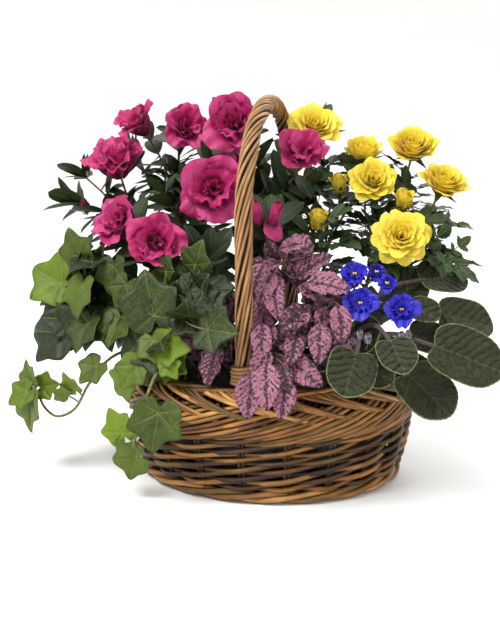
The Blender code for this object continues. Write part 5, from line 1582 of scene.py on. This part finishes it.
class MakeViolet(bpy.types.Operator):
    """Grows the African violet: crown, felted leaves and blue blooms"""

    bl_idname = "flower_basket.make_violet"
    bl_label = "Grow the violet"

    def execute(self, context):
        settings = context.scene.basket_planting
        leaf = violet_leaf_finish(settings)
        stalk = plain_finish("violet_stalk_felted", "#2a1a1b", "#4e3838", size=4.0, bump=0.3, roughness=0.8,
                             Sheen_Weight=0.2)
        petals = petal_finish("violet_petal_crystalline", settings.violet_petal, "#3a34dc", "#8478dc",
                              throat_reach=0.30, vein_width=0.7, roughness=0.5, see_through=0.10, crinkle=1.5)
        anther = plain_finish("violet_anther_waxy", "#d8a800", "#ffe24a", size=1.5, bump=0.2, roughness=0.45)
        heart = Vector((*VIOLET_CROWN, SOIL_HEIGHT + 0.012))
        skin = Skin()
        path = np.array([(*VIOLET_CROWN, z) for z in (0.0985, 0.104, 0.112, 0.118, 0.1205)])
        skin.rod(path, (0.0095, 0.0100, 0.0082, 0.0060, 0.0020), 0.5, 14)
        skin.piece("violet_crown_stem", [stalk], "violet_leaf", "violet_crown")
        self.leaves(leaf, stalk, heart)
        chance = random.Random("violet fillers")
        self.inner_leaves(leaf, stalk, heart, chance)
        self.small_blooms(petals, stalk, anther, heart, chance)
        for name, (azimuth, elevation, leaving) in VIOLET_BLOOMS.items():
            self.bloom(name, direction(azimuth, elevation), leaving, heart, [petals, stalk, anther])
        return {"FINISHED"}

    def leaves(self, leaf, stalk, heart):
        """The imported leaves, each on its stalk from the crown."""
        for name, (azimuth, base, tip) in VIOLET_LEAVES.items():
            skin, chance = started(name)
            base, tip = Vector(base), Vector(tip)
            face = outward_face(base, tip, VIOLET_HEART)
            found = as_packed(solid_of(name), leaf_tries(base, tip, face, name),
                              lambda blade: rim_points("violet", *blade))
            if not found:
                raise RuntimeError(f"{name} is not where its tries put it")
            foot, end, turned = found
            root = heart + direction(azimuth, 0) * VIOLET_STALK_CIRCLE
            along = (end - foot).normalized()
            axes, length = leaf_axes(foot, end, turned)
            join = foot + along * length * 0.16 + Vector(axes[2]) * length * 0.018
            inner = heart + direction(azimuth, 0) * 0.004 - Vector((0, 0, 0.004))
            line = [inner] + smooth_path(root, UP, foot, along, 6) + [join]
            skin.rod(flowing(line, 26), np.linspace(0.0018, VIOLET_STALK, 26), 0.5, 8, 1, chance.uniform(0, 99))
            violet_blade(skin, foot, end, turned, chance, VIOLET_SLIM.get(name, 0.95))
            skin.piece(name + "_blade", [leaf, stalk], "violet_leaf", name, thickness=VIOLET_THICKNESS)

    def inner_leaves(self, leaf, stalk, heart, chance):
        """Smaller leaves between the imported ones."""
        skin = Skin()
        for azimuth, base, tip in VIOLET_FILLERS:
            foot, end = Vector(base), Vector(tip)
            root = heart + direction(azimuth, 0) * 0.006
            way = (end - foot).normalized()
            skin.rod(flowing(smooth_path(root, UP, foot + way * 0.005, way, 6), 20), VIOLET_STALK, 0.5, 8, 1)
            violet_blade(skin, foot, end, outward_face(foot, end, VIOLET_HEART), chance)
        skin.piece("violet_inner_leaves", [leaf, stalk], "violet_leaf", thickness=VIOLET_THICKNESS)

    def small_blooms(self, petals, stalk, anther, heart, chance):
        """Small blooms and shut buds on their own stalks."""
        felt = plain_finish("violet_bud_felted", "#3a2c42", "#8a7f96", size=2.0, bump=0.5, roughness=0.85,
                            Sheen_Weight=0.6)
        skin = Skin()
        for x, y, z, radius in VIOLET_SPRAYS:
            place = Vector((x, y, z))
            facing = direction(chance.uniform(-110, -60), chance.uniform(15, 45))
            thin_stalk(skin, heart, UP, place, facing, BLOOM_STALK, 1)
            violet_face(skin, place - facing * 0.003, facing, radius, chance)
        for x, y, z, radius in VIOLET_BUDS:
            place = Vector((x, y, z))
            thin_stalk(skin, heart, UP, place, Vector((0, -0.7, 0.7)), BLOOM_STALK, 1, rings=14)
            bud(skin, place, direction(chance.uniform(-120, -60), 50), radius, radius * 2.6, 5, chance, 0.5, 3)
        skin.piece("violet_small_blooms", [petals, stalk, anther, felt], "violet_petal")

    def bloom(self, name, facing, leaving, heart, finishes):
        """One violet bloom on its stalk: two small upper petals, three wide lower ones and two anthers."""
        skin, chance = started(name)
        centre, radius = VIOLET_PLACES[name]
        centre = Vector(centre)
        solid = solid_of(name)
        root = heart + direction(leaving, 0) * VIOLET_STALK_CIRCLE * 0.5 + Vector((0, 0, 0.012))
        rise = as_packed(solid, twig_tries(root, centre, facing, name), twig_probes, 0.0007, 0.002)
        rise = rise or next(twig_tries(root, centre, facing, name))
        skin.rod(flowing([heart + Vector((0, 0, 0.002))] + rise, 20), 0.0010, 0.5, 7, 1)
        violet_face(skin, centre - facing * 0.003, facing, radius, chance)
        skin.piece(name + "_petals", finishes, "violet_petal", name)


class MakeStage(bpy.types.Operator):
    """Sets the pale studio floor, the soft lights and the camera"""

    bl_idname = "flower_basket.make_stage"
    bl_label = "Set the stage"

    def execute(self, context):
        scene = context.scene
        angle = np.linspace(0, math.tau, 64, endpoint=False)
        points = [(r * math.cos(a), r * math.sin(a), z - FLOOR_GAP) for r, z in FLOOR_PROFILE for a in angle]
        mesh = bpy.data.meshes.new("studio_floor")
        mesh.from_pydata(points, [], grid_faces(len(FLOOR_PROFILE), len(angle), True).tolist())
        mesh.shade_smooth()
        made = bpy.data.objects.new("studio_floor", mesh)
        scene.collection.objects.link(made)
        paper, add, *_ = new_finish("studio_paper_matt")
        add("OutputMaterial", {"Surface": add("BsdfPrincipled", {"Base Color": "#f7f7f6", "Roughness": 0.95})})
        mesh.materials.append(paper)
        for softbox in SOFTBOXES:
            self.light(*softbox)
        world = bpy.data.worlds.new("studio_room")
        scene.world = world
        world.use_nodes = True
        room = world.node_tree.nodes["Background"]
        room.inputs["Color"].default_value = (1, 1, 1, 1)
        room.inputs["Strength"].default_value = ROOM_LIGHT
        scene.view_settings.view_transform = "Standard"
        lens = bpy.data.cameras.new("camera")
        lens.lens = CAMERA_LENS
        camera = bpy.data.objects.new("camera", lens)
        round_to = math.radians(CAMERA_AZIMUTH)
        camera.location = (math.sin(round_to), -math.cos(round_to), CAMERA_HEIGHT)
        camera.rotation_euler = (math.radians(90 - CAMERA_PITCH), 0, round_to + math.radians(CAMERA_LEFT))
        scene.collection.objects.link(camera)
        scene.camera = camera
        return {"FINISHED"}

    def light(self, name, place, size, power):
        """A square softbox that faces the basket."""
        lamp = bpy.data.lights.new(name, "AREA")
        lamp.size = size
        lamp.energy = power
        made = bpy.data.objects.new(name, lamp)
        made.location = place
        made.rotation_euler = (LIGHTS_AIM - Vector(place)).to_track_quat("-Z", "Y").to_euler()
        bpy.context.scene.collection.objects.link(made)


STEPS = (MakeStage, MakeWicker, MakeHandle, MakeFilling, MakeAzalea, MakeRose, MakeIvy, MakePolkaDot, MakeViolet)


class FlowerBasketPanel(bpy.types.Panel):
    """Lists the steps that build the basket"""

    bl_idname = "VIEW3D_PT_flower_basket"
    bl_label = "Flower Basket"
    bl_space_type = "VIEW_3D"
    bl_region_type = "UI"
    bl_category = "Flower Basket"

    def draw(self, context):
        for group in (context.scene.basket_wicker, context.scene.basket_planting):
            box = self.layout.box()
            for key in group.__annotations__:
                box.prop(group, key)
        for step in STEPS:
            self.layout.operator(step.bl_idname)


CLASSES = (WickerSettings, PlantingSettings, *STEPS, FlowerBasketPanel)


def register():
    for item in CLASSES:
        bpy.utils.register_class(item)
    bpy.types.Scene.basket_wicker = bpy.props.PointerProperty(type=WickerSettings)
    bpy.types.Scene.basket_planting = bpy.props.PointerProperty(type=PlantingSettings)


def unregister():
    del bpy.types.Scene.basket_planting
    del bpy.types.Scene.basket_wicker
    for item in reversed(CLASSES):
        bpy.utils.unregister_class(item)


def main():
    """Builds everything."""
    register()
    for step in STEPS:
        area, call = step.bl_idname.split(".")
        getattr(getattr(bpy.ops, area), call)()


if __name__ == "__main__":
    main()
